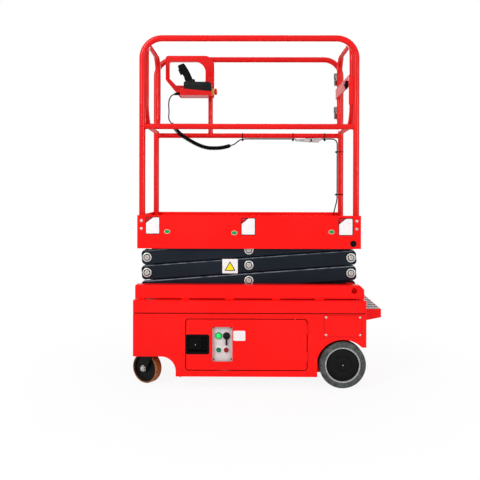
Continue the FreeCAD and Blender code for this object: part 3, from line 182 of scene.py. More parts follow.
deselect()
bpy.ops.mesh.primitive_plane_add(size=60.0, location=(0.0, 0.0, -0.0005))
bpy.ops.object.transform_apply(location=True, rotation=True, scale=True)
floor = bpy.context.object
floor.name = "studio_floor"
floor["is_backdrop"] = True
card = bpy.data.materials.new("white_card")
card.use_nodes = True
tree = card.node_tree
tree.nodes.remove(tree.nodes["Principled BSDF"])
matt = tree.nodes.new("ShaderNodeBsdfDiffuse")
matt.inputs["Color"].default_value = (0.86, 0.86, 0.86, 1.0)
glow = tree.nodes.new("ShaderNodeEmission")
glow.inputs["Strength"].default_value = 1.0
ray = tree.nodes.new("ShaderNodeLightPath")
place = Shade(tree, tree.nodes.new("ShaderNodeTexCoord").outputs["Object"])
shadow_reach = 0.7
white_from = 1.7
distance = place.node("ShaderNodeVectorMath", {"operation": "LENGTH"}, {0: place}, "Value")
far_off = distance.step(shadow_reach, white_from)
white_share = (0.91 + 0.09 * far_off) * Shade(tree, ray.outputs["Is Camera Ray"])
mixed = white_share.node("ShaderNodeMixShader", {}, {
    0: white_share,
    1: Shade(tree, matt.outputs[0]),
    2: Shade(tree, glow.outputs[0]),
})
tree.links.new(mixed.socket, tree.nodes["Material Output"].inputs["Surface"])
floor.data.materials.append(card)


# The chassis: folded and welded steel sheet, powder coated red. The lower shell has a bow in front, arches
# for the drive wheels and an opening on each side for a door; the flat top closes it above a narrow seam.
def tone(red, green, blue):
    """A colour as it looks on a screen, 0 to 255, as the shader's linear light."""
    return tuple(((c / 255 + 0.055) / 1.055) ** 2.4 if c > 10 else c / 255 / 12.92
                 for c in (red, green, blue)) + (1.0,)


def finish(name, varying, sheen=0.5, metal=0.0, glow=0.0):
    """A material: three values are the same all over, and varying(place) gives the rest."""
    material = bpy.data.materials.new(name)
    material.use_nodes = True
    tree = material.node_tree
    shader = tree.nodes["Principled BSDF"]
    shader.inputs["Specular IOR Level"].default_value = sheen
    shader.inputs["Metallic"].default_value = metal
    shader.inputs["Emission Strength"].default_value = glow
    place = Shade(tree, tree.nodes.new("ShaderNodeTexCoord").outputs["Object"])
    for socket, shade in varying(place).items():
        tree.links.new(shade.socket, shader.inputs[socket])
    return material


def clouded(name, colour, other, lumps, span, rough, pores=None, depth=None, drawn=None, **fixed):
    """A finish that drifts between two colours and roughnesses in patches, which may be drawn into streaks.

    Its relief comes from fine pores, or from the patches themselves where none are given.
    """
    def skin(place):
        share = (place.stretched(*drawn) if drawn else place).grain(*lumps).step(*span)
        look = {
            "Base Color": share.tones(tone(*colour), tone(*other)),
            "Roughness": rough[0] + rough[1] * share,
        }
        if depth:
            look["Normal"] = (place.grain(*pores) if pores else share).relief(*depth)
        return look
    return finish(name, skin, **fixed)


def red_skin(place):
    cloud = place.grain(2.2, 2.0).step(0.3, 0.7)
    peel = place.grain(420.0, 2.0)
    low_down = 1.0 - place.axis("Z").step(0.08, 0.35)
    dust = place.grain(28.0, 5.0, 0.65).step(0.6, 0.82) * low_down
    coat = cloud.tones(tone(236, 9, 6), tone(246, 15, 10))
    return {
        "Base Color": dust.tones(coat, tone(206, 60, 50)),
        "Roughness": 0.34 + 0.1 * cloud + 0.22 * dust,
        "Normal": peel.relief(0.12, 0.0003),
    }


red_paint = finish("red_powder_coat", red_skin, sheen=0.16)


def only(piece):
    """Makes one piece the selected and active one."""
    deselect()
    piece.select_set(True)
    bpy.context.view_layer.objects.active = piece


@contextlib.contextmanager
def editing(piece):
    """Edit mode on one piece, while the lines under it run."""
    only(piece)
    bpy.ops.object.mode_set(mode="EDIT")
    yield
    bpy.ops.object.mode_set(mode="OBJECT")


def placed(name, data):
    """A new object in the scene."""
    made = bpy.data.objects.new(name, data)
    bpy.context.scene.collection.objects.link(made)
    return made


def rounded_copy(node, edge, coat, bend=38, segments=2, clamped=True):
    """The node's own shape as one closed skin, with its sharp edges rounded."""
    piece = placed(node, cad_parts[node].data.copy())
    only(piece)
    bpy.ops.mesh.customdata_custom_splitnormals_clear()
    with editing(piece):
        bpy.ops.mesh.select_all(action="SELECT")
        bpy.ops.mesh.remove_doubles(threshold=0.00002)
        bpy.ops.mesh.dissolve_limited(angle_limit=math.radians(1))
    bpy.ops.object.shade_smooth()
    round_off = piece.modifiers.new("round_off", "BEVEL")
    round_off.width = edge
    round_off.segments = segments
    round_off.limit_method = "ANGLE"
    round_off.angle_limit = math.radians(bend)
    round_off.harden_normals = True
    round_off.use_clamp_overlap = clamped
    bpy.ops.object.modifier_apply(modifier="round_off")
    piece.data.materials.clear()
    piece.data.materials.append(coat)
    return piece


def settle(piece, name, body, slot, *nodes):
    """Names a finished piece, ties it to its body and hides the CAD nodes that it stands for; slot is not
    used.
    """
    piece.name = name
    piece.data.name = name
    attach(piece, body)
    if nodes:
        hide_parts(*nodes)
    return piece


def reskin(node, edge, coat, name, body, slot, **how):
    """Puts the node's rounded copy in its place."""
    return settle(rounded_copy(node, edge, coat, **how), name, body, slot, node)


chassis_skins = [
    reskin(node, 0.0022, red_paint, node + "_skin", "chassis", "red_paint")
    for node in ("chassis_shell", "chassis_top")]


def fresh():
    """The object just added, with its place and turn put into its mesh."""
    bpy.ops.object.transform_apply(location=True, rotation=True, scale=True)
    return bpy.context.object


def disc(middle, along, radius, thick, sides):
    """A round bar about its middle, lying along one direction."""
    deselect()
    turn = Vector(along).to_track_quat("Z", "Y").to_euler()
    bpy.ops.mesh.primitive_cylinder_add(
        vertices=sides, radius=radius, depth=thick, location=middle, rotation=turn)
    return fresh()


def choose(kind, test):
    """In edit mode, selects only the faces or edges whose middle and direction pass the test."""
    bpy.ops.mesh.select_mode(type=kind)
    bpy.ops.mesh.select_all(action="DESELECT")
    mesh = bmesh.from_edit_mesh(bpy.context.object.data)
    if kind == "FACE":
        for face in mesh.faces:
            face.select_set(bool(test(face.calc_center_median(), face.normal)))
    else:
        for edge in mesh.edges:
            start, end = (corner.co for corner in edge.verts)
            edge.select_set(bool(test((start + end) / 2, (end - start).normalized())))
    mesh.select_flush_mode()
    bmesh.update_edit_mesh(bpy.context.object.data)


def looking(way):
    """A test for faces that look that way."""
    return lambda middle, normal: normal.dot(Vector(way)) > 0.99


def stepped(piece, way, steps):
    """Insets the face that looks that way again and again. A step is how far in and how far out."""
    with editing(piece):
        choose("FACE", looking(way))
        for inward, outward in steps:
            bpy.ops.mesh.inset(thickness=inward, depth=outward)


def coated(piece, coat, corner=35):
    """Paints a piece, and shades it smooth over edges up to that many degrees."""
    only(piece)
    bpy.ops.object.shade_smooth_by_angle(angle=math.radians(corner))
    piece.data.materials.clear()
    piece.data.materials.append(coat)
    return piece


def turned(middle, way, radius, thick, sides, steps, coat, corner=35):
    """A turned or hexagonal piece in its finish: a disc, whose face that looks that way is stepped."""
    piece = disc(middle, way, radius, thick, sides)
    stepped(piece, way, steps)
    return coated(piece, coat, corner)


def patch(piece, coat, test):
    """Gives the faces whose middle and direction pass the test another finish."""
    piece.data.materials.append(coat)
    for face in piece.data.polygons:
        if test(face.center, face.normal):
            face.material_index = len(piece.data.materials) - 1


# Painted shade: a dark red for the seam's bottom and the sheet's edge round each door's opening, where shade
# falls.
gap_shade_red = clouded("gap_shade_red", (126, 8, 6), (92, 10, 8), (30.0, 4.0, 0.6), (0.4, 0.7), (0.55, 0.2), sheen=0.1)

seam_low = 0.3825
seam_high = 0.3875
hull_side = 0.366
sheet_edge = 0.006
door_low, door_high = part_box("door_near")


def in_shaded_gap(place, facing):
    """The seam's bottom, and the edge of the sheet round each door's opening, where shade is painted dark
    red.
    """
    if seam_low < place.z < seam_high:
        return True
    if abs(facing.y) > 0.3 or abs(place.y) < hull_side:
        return False
    beside = min(abs(place.x - door_low[0]), abs(place.x - door_high[0]))
    above = min(abs(place.z - door_low[2]), abs(place.z - door_high[2]))
    return min(beside, above) < sheet_edge


# The seam and the door openings' edges take the painted shade.
for skin in chassis_skins:
    patch(skin, gap_shade_red, in_shaded_gap)

zinc = clouded(
    "zinc_plate", (190, 190, 188), (150, 148, 142), (90.0, 4.0, 0.6), (0.45, 0.75), (0.3, 0.25),
    (900.0,), (0.15, 0.0001), metal=0.85)

black_paint = clouded(
    "black_paint", (13, 13, 14), (26, 26, 28), (60.0, 4.0, 0.6), (0.5, 0.8), (0.42, 0.2),
    (500.0,), (0.15, 0.0002), sheen=0.14)

down = (0.0, 0.0, -1.0)
upward = (0.0, 0.0, 1.0)
floor_plug = disc((-0.3975, -0.345, 0.0575), upward, 0.0075, 0.008, 6)
stepped(floor_plug, down, [(0.0012, 0.0008), (0.002, 0.0), (0.0, 0.003)])
settle(coated(floor_plug, black_paint), "floor_plug", "chassis", "black_paint")


# The cover plates over the drive wheels' wiring: flat 2 mm steel in the body's red, each held to the
# chassis side by four small domed screws near its corners.
def block(low, high):
    """A block between two corners."""
    deselect()
    middle = [(a + b) / 2 for a, b in zip(low, high)]
    bpy.ops.mesh.primitive_cube_add(size=1.0, location=middle, scale=[b - a for a, b in zip(low, high)])
    return fresh()


def again(piece, shift):
    """Another of the same piece with its own mesh, moved."""
    made = placed(piece.name, piece.data.copy())
    made.data.transform(Matrix.Translation(shift))
    return made


def mirrored(piece):
    """The same piece with its own mesh, on the other side of the machine."""
    made = placed(piece.name, piece.data.copy())
    made.data.transform(Matrix.Scale(-1, 4, (0, 1, 0)))
    made.data.flip_normals()
    return made


def on_both_sides(piece, name, body, slot, *nodes):
    """Settles a near piece and its mirror image; the star in a name stands for near or far."""
    for one, side in ((mirrored(piece), "far"), (piece, "near")):
        settle(one, name.replace("*", side), body.replace("*", side), slot,
               *[node.replace("*", side) for node in nodes])


reskin("cover_plates", 0.0007, red_paint, "cover_sheets", "chassis", "red_paint")
low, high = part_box("cover_plates")
# Painted shade: a dark sheet, a little larger than each plate, lies behind it and draws the shadow round the
# plate's edge.
shade_sheet_lip = 0.0014
shade_sheet = block(
    (low[0] - shade_sheet_lip, low[1] + 0.0012, low[2] - shade_sheet_lip),
    (high[0] + shade_sheet_lip, low[1] + 0.0026, high[2] + shade_sheet_lip))
on_both_sides(coated(shade_sheet, gap_shade_red), "cover_gasket_*", "chassis", "black_paint")
near = (0.0, -1.0, 0.0)
screw_inset = 0.0085
cover_screw = turned(
    (low[0] + screw_inset, low[1] + 0.0004, low[2] + screw_inset), near, 0.0056, 0.0012, 24,
    [(0.0008, 0.0005), (0.0018, 0.0003), (0.0016, 0.0), (0.0002, -0.0004)], zinc, 50)
runs = (0.0, high[0] - low[0] - 2 * screw_inset)
rises = (0.0, high[2] - low[2] - 2 * screw_inset)
for count, (run, rise) in enumerate(itertools.product(runs, rises), 1):
    on_both_sides(again(cover_screw, (run, 0.0, rise)), "cover_screw_*_%d" % count, "chassis", "steel")
bpy.data.objects.remove(cover_screw)


# The doors: pan doors of folded sheet, red like the body, on two pin hinges at the rear. The near one has
# a window for the lower controls.
for side in ("near", "far"):
    reskin("door_" + side, 0.0012, red_paint, "door_skin_" + side, "door_" + side, "red_paint")
reskin("door_hinges", 0.0006, red_paint, "door_hinge_pins", "chassis", "steel", bend=50)


# The door latches: black moulded paddle handles. A dished frame is let into the door, and a paddle with
# a key cylinder fills the front two thirds of the dish.
black_plastic = clouded(
    "black_plastic", (5, 5, 6), (11, 11, 12), (35.0, 3.0), (0.4, 0.7), (0.48, 0.14),
    (1300.0, 1.0), (0.25, 0.0002), sheen=0.07)


def every_edge(middle, heading):
    return True


def soften(piece, width, segments, test=every_edge):
    """Rounds the edges of a piece that pass the test."""
    with editing(piece):
        choose("EDGE", test)
        bpy.ops.mesh.bevel(offset=width, segments=segments)


def joined(piece, others):
    """Joins other pieces into one."""
    only(piece)
    for other in others:
        other.select_set(True)
    bpy.ops.object.join()
    return piece


def along_y(middle, heading):
    return abs(heading.y) > 0.99


def within(x, z, outer, inner=-1.0):
    """A test for faces between two distances from a line across the machine."""
    return lambda place, facing: inner < math.hypot(place.x - x, place.z - z) < outer


low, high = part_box("latch_near")
latch_face = low[1]
latch_x = (low[0] + high[0]) / 2
latch_z = (low[2] + high[2]) / 2
behind = (0.0, 1.0, 0.0)
frame_lip = 0.0032
frame_corner = 0.0105
dish_wall = 0.0094
dish_depth = 0.0165
latch_flange = block(
    (low[0] - frame_lip, latch_face - 0.0013, low[2] - frame_lip),
    (high[0] + frame_lip, latch_face + 0.0004, high[2] + frame_lip))
soften(latch_flange, frame_corner, 6, along_y)
stepped(latch_flange, near, [(0.0012, 0.0008), (0.0068, 0.0), (0.0012, -0.0012)])
with editing(latch_flange):
    choose("FACE", within(latch_x, latch_z, 0.001))
    bpy.ops.mesh.delete(type="FACE")
    choose("FACE", looking(behind))
    bpy.ops.mesh.delete(type="FACE")
latch_frame = block(
    (low[0] + 0.0004, latch_face + 0.0003, low[2] + 0.0004), (high[0] - 0.0004, high[1], high[2] - 0.0004))
stepped(latch_frame, near, [(dish_wall, 0.0), (0.0012, -dish_depth)])
joined(latch_frame, [latch_flange])
on_both_sides(coated(latch_frame, black_plastic), "latch_frame_*", "door_*", "black_plastic", "latch_*")

paddle = block(
    (low[0] + 0.014, latch_face + 0.003, low[2] + 0.021),
    (high[0] - 0.036, latch_face + 0.019, high[2] - 0.013))
soften(paddle, 0.0075, 4, along_y)
stepped(paddle, near, [(0.001, 0.0008), (0.0042, 0.0), (0.0015, -0.0018)])
on_both_sides(coated(paddle, black_plastic), "latch_paddle_*", "door_*", "black_plastic")

latch_rib = block(
    (high[0] - 0.032, latch_face + 0.007, low[2] + 0.016),
    (high[0] - 0.014, latch_face + 0.019, low[2] + 0.026))
soften(latch_rib, 0.0012, 2)
on_both_sides(coated(latch_rib, black_plastic), "latch_rib_*", "door_*", "black_plastic")

key_x = latch_x - 0.010
key_z = latch_z - 0.003
key_cylinder = turned(
    (key_x, latch_face + 0.0045, key_z), near, 0.0042, 0.004, 24,
    [(0.0006, 0.0004), (0.0012, 0.0), (0.0002, -0.0006)], black_paint)
patch(key_cylinder, zinc, within(key_x, key_z, 0.0016))
on_both_sides(key_cylinder, "latch_key_*", "door_*", "black_plastic")


# The lower controls: a grey sheet-metal box behind the near door's window, with a lamp, a key switch and
# two buttons in pale bezels. Its lettering is left blank.
panel_grey = clouded(
    "panel_grey", (213, 207, 207), (196, 190, 190), (45.0, 4.0, 0.6), (0.5, 0.8), (0.38, 0.2),
    (700.0,), (0.12, 0.0002), sheen=0.35)

reskin("panel_box", 0.0012, panel_grey, "panel_case", "chassis", "panel_grey")
low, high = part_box("panel_box")
panel_front = low[1]
panel_middle = (low[0] + high[0]) / 2
# Four black screw heads at the panel's corners; the upper pair also stand for the shade in the window's top
# corners, painted black.
for count, (run, height) in enumerate(itertools.product((-0.0445, 0.0445), (0.1465, 0.3075)), 1):
    fixing = turned(
        (panel_middle + run, panel_front - 0.0008, height), near, 0.0032, 0.0022, 20,
        [(0.0006, 0.0004), (0.001, 0.0), (0.0002, -0.0006)], black_paint)
    settle(fixing, "panel_screw_%d" % count, "chassis", "steel")


def shiny(name, colour, other, rough=0.3, glow=0.0):
    """Moulded plastic of one colour, with faint cloudiness and light scratches."""
    def skin(place):
        cloud = place.grain(70.0, 3.0).step(0.35, 0.7)
        scratch = place.stretched(1.0, 1.0, 7.0).grain(240.0, 3.0, 0.7).step(0.6, 0.75)
        tint = cloud.tones(tone(*colour), tone(*other))
        look = {
            "Base Color": tint,
            "Roughness": rough + 0.08 * cloud + 0.15 * scratch,
            "Normal": scratch.relief(0.2, 0.0001),
        }
        if glow:
            look["Emission Color"] = tint
        return look
    return finish(name, skin, sheen=0.22, glow=glow)


bezel_white = shiny("bezel_plastic", (246, 246, 246), (236, 236, 236))
lamp_green = shiny("lamp_lens", (16, 190, 72), (52, 236, 118), 0.15, 0.4)
switch_black = shiny("switch_plastic", (9, 9, 10), (16, 16, 18), 0.35)
button_green = shiny("green_button", (20, 98, 72), (26, 118, 88), 0.3)
button_red = shiny("red_button", (138, 12, 26), (156, 16, 30), 0.3)

bezel_bevel = 0.001
bezel = 0.0024


def control(name, run, height, wide, ring, cap, steps):
    """A round control on the panel's face, a bezel ring about a cap that the steps turn."""
    x = panel_middle + run
    body = turned(
        (x, panel_front - 0.002, height), near, wide, 0.004, 40,
        [(bezel_bevel, 0.0012), (bezel, 0.0)] + steps, ring, 40)
    patch(body, cap, within(x, height, wide - bezel_bevel - bezel - 0.0002))
    return settle(body, name, "chassis", "control_plastic")


dome = [(0.0003, 0.004), (0.002, 0.0018), (0.003, 0.0012), (0.003, 0.0004)]
button = [(0.0002, -0.001), (0.0012, 0.0), (0.0002, 0.005), (0.0012, 0.0012), (0.004, 0.0004)]
control("power_lamp", -0.0195, 0.2665, 0.0172, button_green, lamp_green, dome)
control("key_switch", 0.0205, 0.2655, 0.0188, switch_black, switch_black,
        [(0.0002, 0.003), (0.002, 0.001), (0.005, 0.0), (0.0003, -0.0015)])
control("raise_button", -0.0195, 0.1945, 0.0168, bezel_white, button_green, button)
lower_button = control("lower_button", 0.0195, 0.1945, 0.0168, bezel_white, button_red, button)
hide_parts("panel_controls")

rearward = (1.0, 0.0, 0.0)
key_bow = turned(
    (panel_middle + 0.0205, panel_front - 0.0125, 0.2535), rearward, 0.0085, 0.0022, 28,
    [(0.0018, 0.0004), (0.0022, 0.0), (0.0004, -0.001)], switch_black)
settle(key_bow, "key_bow", "chassis", "control_plastic")
key_tag = block(
    (panel_middle + 0.0155, panel_front - 0.0118, 0.2185),
    (panel_middle + 0.0255, panel_front - 0.0096, 0.2475))
soften(key_tag, 0.002, 3, along_y)
soften(key_tag, 0.0004, 2, lambda middle, heading: abs(heading.y) < 0.5)
settle(coated(key_tag, switch_black), "key_tag", "chassis", "control_plastic")


# The door's label: a sheet of white film, 61 by 51 mm with rounded corners, glued to the door's skin. It is
# left blank.
def film(name, colour, soiled):
    """Printed film of one colour, soiled in patches."""
    return clouded(
        name, colour, soiled, (75.0, 4.0, 0.6), (0.52, 0.8), (0.32, 0.2),
        (300.0,), (0.08, 0.0001), sheen=0.16)


white_film = film("white_film", (233, 229, 230), (210, 204, 205))
stack_x = -0.0439  # the middle of the stack of arms, front to rear
skin_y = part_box("door_near")[0][1] + 0.003


def label(name, low, high, body, slot, corner, coat):
    """A sheet of film with rounded corners, lying on a wall that faces the near side."""
    sheet = block(low, high)
    soften(sheet, corner, 4, along_y)
    return settle(coated(sheet, coat), name, body, slot)


label(
    "door_label", (stack_x - 0.079, skin_y - 0.0005, 0.2455), (stack_x - 0.018, skin_y + 0.0002, 0.2965),
    "door_near", "red_paint", 0.006, white_film)


# Inside the hull: the battery pack is one moulded case with a raised lid and red filler caps. A gear motor
# stands on the floor behind each drive wheel, its cast body painted black.
def case_skin(place):
    dust = place.grain(18.0, 5.0, 0.65).step(0.45, 0.75) * place.axis("Z").step(0.28, 0.316)
    return {
        "Base Color": dust.tones(tone(46, 47, 50), tone(92, 90, 86)),
        "Roughness": 0.55 + 0.25 * dust,
        "Normal": place.grain(1100.0, 1.0).relief(0.2, 0.0002),
    }


battery_case = finish("battery_case", case_skin, sheen=0.35)
low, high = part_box("battery")
lid_rise = 0.006
pack = block(low, (high[0], high[1], high[2] - lid_rise))
soften(pack, 0.008, 3)
stepped(pack, upward, [(0.012, 0.0), (0.002, 0.005), (0.03, 0.0), (0.002, -0.003)])
settle(coated(pack, battery_case), "battery_pack", "chassis", "battery_case", "battery")
for count, (share, across) in enumerate(itertools.product((0.2, 0.4, 0.6, 0.8), (-0.09, 0.09)), 1):
    filler = turned(
        (low[0] + share * (high[0] - low[0]), across, high[2] - 0.002), upward, 0.019, 0.008, 32,
        [(0.002, 0.0015), (0.007, 0.0), (0.001, 0.002), (0.002, 0.0)], button_red)
    settle(filler, "battery_cap_%d" % count, "chassis", "battery_case")

reskin("drive_units", 0.002, black_paint, "gear_motors", "chassis", "black_paint")


# The drive wheels: solid grey non-marking tyres pressed on rims. A pale machined edge runs round a black
# pressed cap, which covers the hub and has a brass grease point in its middle.
def tyre_skin(place):
    mottle = place.grain(38.0, 5.0, 0.7)
    speck = place.grain(260.0, 3.0, 0.6)
    shade = (0.6 * mottle + 0.4 * speck).step(0.38, 0.64)
    low_down = 1.0 - place.axis("Z").step(0.0, 0.012)
    scuffed = shade.tones(tone(54, 59, 58), tone(94, 99, 97))
    return {
        "Base Color": (0.6 * low_down).tones(scuffed, tone(122, 118, 110)),
        "Roughness": 0.8 + 0.12 * speck,
        "Normal": (mottle + 0.5 * speck).relief(0.35, 0.0009),
    }


tyre_rubber = finish("tyre_rubber", tyre_skin, sheen=0.2)
rim_edge = clouded(
    "rim_edge", (176, 178, 178), (146, 148, 148), (120.0, 4.0, 0.6), (0.35, 0.7), (0.36, 0.2),
    depth=(0.1, 0.0002), drawn=(1.0, 9.0, 1.0), metal=0.2)
wheel_black = clouded(
    "wheel_black", (10, 11, 12), (19, 20, 22), (40.0, 4.0, 0.6), (0.5, 0.8), (0.6, 0.2),
    (420.0, 3.0, 0.6), (0.3, 0.0004), sheen=0.12)

brass = clouded("brass", (168, 152, 112), (122, 108, 78), (400.0, 3.0), (0.4, 0.7), (0.3, 0.25), metal=0.9)

for side in ("near", "far"):
    reskin("tyre_" + side, 0.0035, tyre_rubber, "tyre_ring_" + side, "drive_wheel_" + side, "tyre_rubber",
           bend=12, segments=3)
low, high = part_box("rim_near")
wheel_x = (low[0] + high[0]) / 2
wheel_z = (low[2] + high[2]) / 2
rim_radius = (high[0] - low[0]) / 2
rim_face = -0.368
rim_back = -0.308
wheel_disc = disc((wheel_x, (rim_face + rim_back) / 2, wheel_z), near, rim_radius, rim_back - rim_face, 96)
stepped(wheel_disc, near, [
    (0.0008, 0.0008), (0.0068, 0.0), (0.0008, -0.0058), (0.003, 0.0), (0.0026, 0.0052), (0.003, 0.0022),
    (0.036, 0.0008), (0.0012, -0.0008), (0.0016, 0.0), (0.0012, 0.0008), (0.014, 0.0004)])
stepped(wheel_disc, behind, [(0.008, 0.0), (0.002, -0.02), (0.05, 0.0), (0.002, 0.012)])
coated(wheel_disc, wheel_black)
edge_width = 0.0082
patch(wheel_disc, rim_edge, within(wheel_x, wheel_z, 1.0, rim_radius - edge_width))
on_both_sides(wheel_disc, "wheel_disc_*", "drive_wheel_*", "black_paint", "rim_*")
grease_point = turned(
    (wheel_x, rim_face - 0.0032, wheel_z), near, 0.0038, 0.005, 6,
    [(0.0008, 0.0004), (0.0006, 0.0), (0.0002, 0.0022), (0.0008, 0.0006)], brass)
on_both_sides(grease_point, "grease_point_*", "drive_wheel_*", "black_paint")


# The casters: black pressed forks on bolted top plates, cast wheels with a bonded ring of brown
# polyurethane, and a plated bolt with hexagon nuts through the fork's legs.
def tread_skin(place):
    marble = place.stretched(1.0, 1.0, 1.6).grain(55.0, 6.0, 0.7).step(0.36, 0.62)
    grime = place.grain(140.0, 4.0, 0.6).step(0.42, 0.7)
    amber = marble.tones(tone(182, 108, 44), tone(134, 80, 36))
    return {
        "Base Color": (0.5 * grime).tones(amber, tone(72, 62, 52)),
        "Roughness": 0.42 + 0.3 * grime,
        "Normal": marble.relief(0.2, 0.0004),
    }


caster_ring = finish("caster_polyurethane", tread_skin, sheen=0.4)


def iron_skin(place):
    cast = place.grain(350.0, 4.0, 0.6)
    return {
        "Base Color": cast.step(0.4, 0.7).tones(tone(12, 12, 13), tone(25, 25, 26)),
        "Roughness": 0.5 + 0.2 * cast,
        "Normal": cast.relief(0.3, 0.0004),
    }


cast_iron = finish("caster_iron", iron_skin, sheen=0.14)
caster_turn = math.radians(150)
axle_way = Vector((-math.sin(caster_turn), math.cos(caster_turn), 0.0))
nut_out = 0.0375
washer_out = 0.0334
for side in ("near", "far"):
    swivel = "caster_swivel_" + side
    wheel = "caster_wheel_" + side
    reskin("caster_tread_" + side, 0.002, caster_ring, "caster_ring_" + side, wheel, "caster_tread",
           bend=12, segments=3)
    reskin("caster_hub_" + side, 0.0015, cast_iron, "caster_core_" + side, wheel, "caster_core")
    reskin("caster_fork_" + side, 0.0012, black_paint, "caster_legs_" + side, swivel, "black_paint")
    low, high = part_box("caster_tread_" + side)
    middle = Vector([(a + b) / 2 for a, b in zip(low, high)])
    for end, way in (("front", axle_way * -1), ("rear", axle_way)):
        nut = turned(
            middle + way * nut_out, way, 0.0138, 0.009, 6,
            [(0.0015, 0.0008), (0.0045, 0.0), (0.0005, 0.0035), (0.0012, 0.0008)], zinc)
        settle(nut, "caster_nut_%s_%s" % (end, side), swivel, "black_paint")
        washer = disc(middle + way * washer_out, way, 0.0165, 0.0012, 40)
        soften(washer, 0.0003, 1)
        settle(coated(washer, zinc), "caster_washer_%s_%s" % (end, side), swivel, "black_paint")
reskin("caster_plates", 0.0012, zinc, "caster_tops", "chassis", "steel")
low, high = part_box("caster_plates")
swivel_x = (low[0] + high[0]) / 2
bolt_square = (-0.039, 0.039)
bolt_places = itertools.product((-0.285, 0.285), bolt_square, bolt_square)
for count, (across, run, aside) in enumerate(bolt_places, 1):
    bolt = turned(
        (swivel_x + run, across + aside, low[2] - 0.002), down, 0.0065, 0.004, 6,
        [(0.0012, 0.0006), (0.002, 0.0)], zinc)
    settle(bolt, "caster_bolt_%d" % count, "chassis", "steel")


# The step: a folded box of red sheet across the rear, with an aluminium tread set in its top. The tread's
# ribs run fore and aft; they are worn bright, and the shade between them is painted near black.
def ribbed_skin(place):
    # Painted shade: the valleys between the ribs are coloured near black.
    valley = 1.0 - place.axis("Z").step(0.3848, 0.3868)
    scrape = place.stretched(6.0, 1.0, 1.0).grain(150.0, 4.0, 0.7).step(0.5, 0.75)
    bright = scrape.tones(tone(156, 160, 166), tone(196, 199, 204))
    return {
        "Base Color": (0.92 * valley).tones(bright, tone(30, 32, 38)),
        "Roughness": 0.34 + 0.3 * valley + 0.1 * scrape,
        "Normal": scrape.relief(0.15, 0.0002),
    }


tread_metal = finish("ribbed_aluminium", ribbed_skin, sheen=0.3)
reskin("step_frame", 0.0018, red_paint, "step_box", "chassis", "red_paint")
low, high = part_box("step_tread")
rib_rise = 0.007
rib_count = 8
rib_pitch = (high[1] - low[1]) / rib_count
half_valley = 0.24  # as a share of the pitch
step_plate = block((low[0], low[1], high[2] - 0.012), (high[0], high[1], high[2] - rib_rise))
rib = block(
    (low[0] + 0.001, low[1] + half_valley * rib_pitch, high[2] - rib_rise - 0.001),
    (high[0] - 0.001, low[1] + (1 - half_valley) * rib_pitch, high[2]))
soften(rib, 0.0015, 2, lambda middle, heading: abs(heading.x) > 0.9 and middle.z > high[2] - 0.001)
ribs = [again(rib, (0.0, count * rib_pitch, 0.0)) for count in range(1, rib_count)] + [rib]
joined(step_plate, ribs)
settle(coated(step_plate, tread_metal), "step_plate", "chassis", "tread_aluminium", "step_tread")


# The roller tracks and the pivots: two channels of bent sheet stand on pads on the chassis top, and plates
# with pins between them carry the lowest arms. All of it went through the same red coat.
reskin("track_channels", 0.0012, red_paint, "channels", "chassis", "red_paint")
reskin("base_pivots", 0.001, red_paint, "pivot_plates", "chassis", "steel")
pin_keeper = turned(
    (0.508, -0.2885, 0.490), near, 0.027, 0.003, 48, [(0.0008, 0.0008), (0.012, 0.0), (0.0006, 0.0015)],
    red_paint)
on_both_sides(pin_keeper, "pin_keeper_*", "chassis", "steel")


# The scissor arms: box sections welded up from steel sheet and powder coated a dark blue-grey. Tubes
# across join each inner pair, and bored bosses take the pins.
def arm_skin(place):
    cloud = place.grain(3.0, 3.0).step(0.3, 0.7)
    peel = place.grain(380.0, 2.0)
    rub = place.stretched(1.0, 1.0, 4.0).grain(26.0, 5.0, 0.7).step(0.6, 0.8)
    coat = cloud.tones(tone(16, 22, 31), tone(23, 29, 38))
    return {
        "Base Color": (0.35 * rub).tones(coat, tone(48, 54, 62)),
        "Roughness": 0.34 + 0.12 * cloud + 0.2 * rub,
        "Normal": peel.relief(0.12, 0.0003),
    }


arm_paint = finish("arm_paint", arm_skin, sheen=0.12)
# Painted highlight: a pale streaked colour for the arms' upper edges, where light catches the rounding.
edge_highlight = clouded(
    "edge_highlight", (112, 120, 130), (44, 50, 60), (22.0, 5.0, 0.7), (0.38, 0.66), (0.3, 0.15),
    drawn=(1.0, 3.0, 3.0), sheen=0.3)


def on_upper_edge(place, facing):
    """The rounded edges along the top of an arm, where a pale highlight is painted."""
    return facing.z > 0.35 and abs(facing.y) > 0.25 and abs(facing.x) < 0.3


for level in ("1", "2", "3"):
    for pair in ("inner", "outer"):
        outer = pair == "outer"
        arms = reskin(
            pair + "_arms_" + level, 0.005 if outer else 0.003, arm_paint,
            pair + "_pair_" + level, pair + "_" + level, "arm_paint", clamped=not outer)
        # The arms' upper edges take the painted highlight.
        patch(arms, edge_highlight, on_upper_edge)


# The pins: plated shafts through the arms. Outside each outer arm a bush ring stands round the pin's
# head, with a groove between them whose shade is painted black.
pin_steel = clouded(
    "pin_steel", (214, 214, 210), (176, 175, 170), (210.0, 3.0, 0.6), (0.4, 0.7), (0.3, 0.2),
    depth=(0.1, 0.0001), metal=0.6)
pin_face = clouded(
    "pin_face", (182, 171, 161), (122, 109, 101), (320.0, 4.0, 0.6), (0.45, 0.75), (0.45, 0.25),
    metal=0.3)

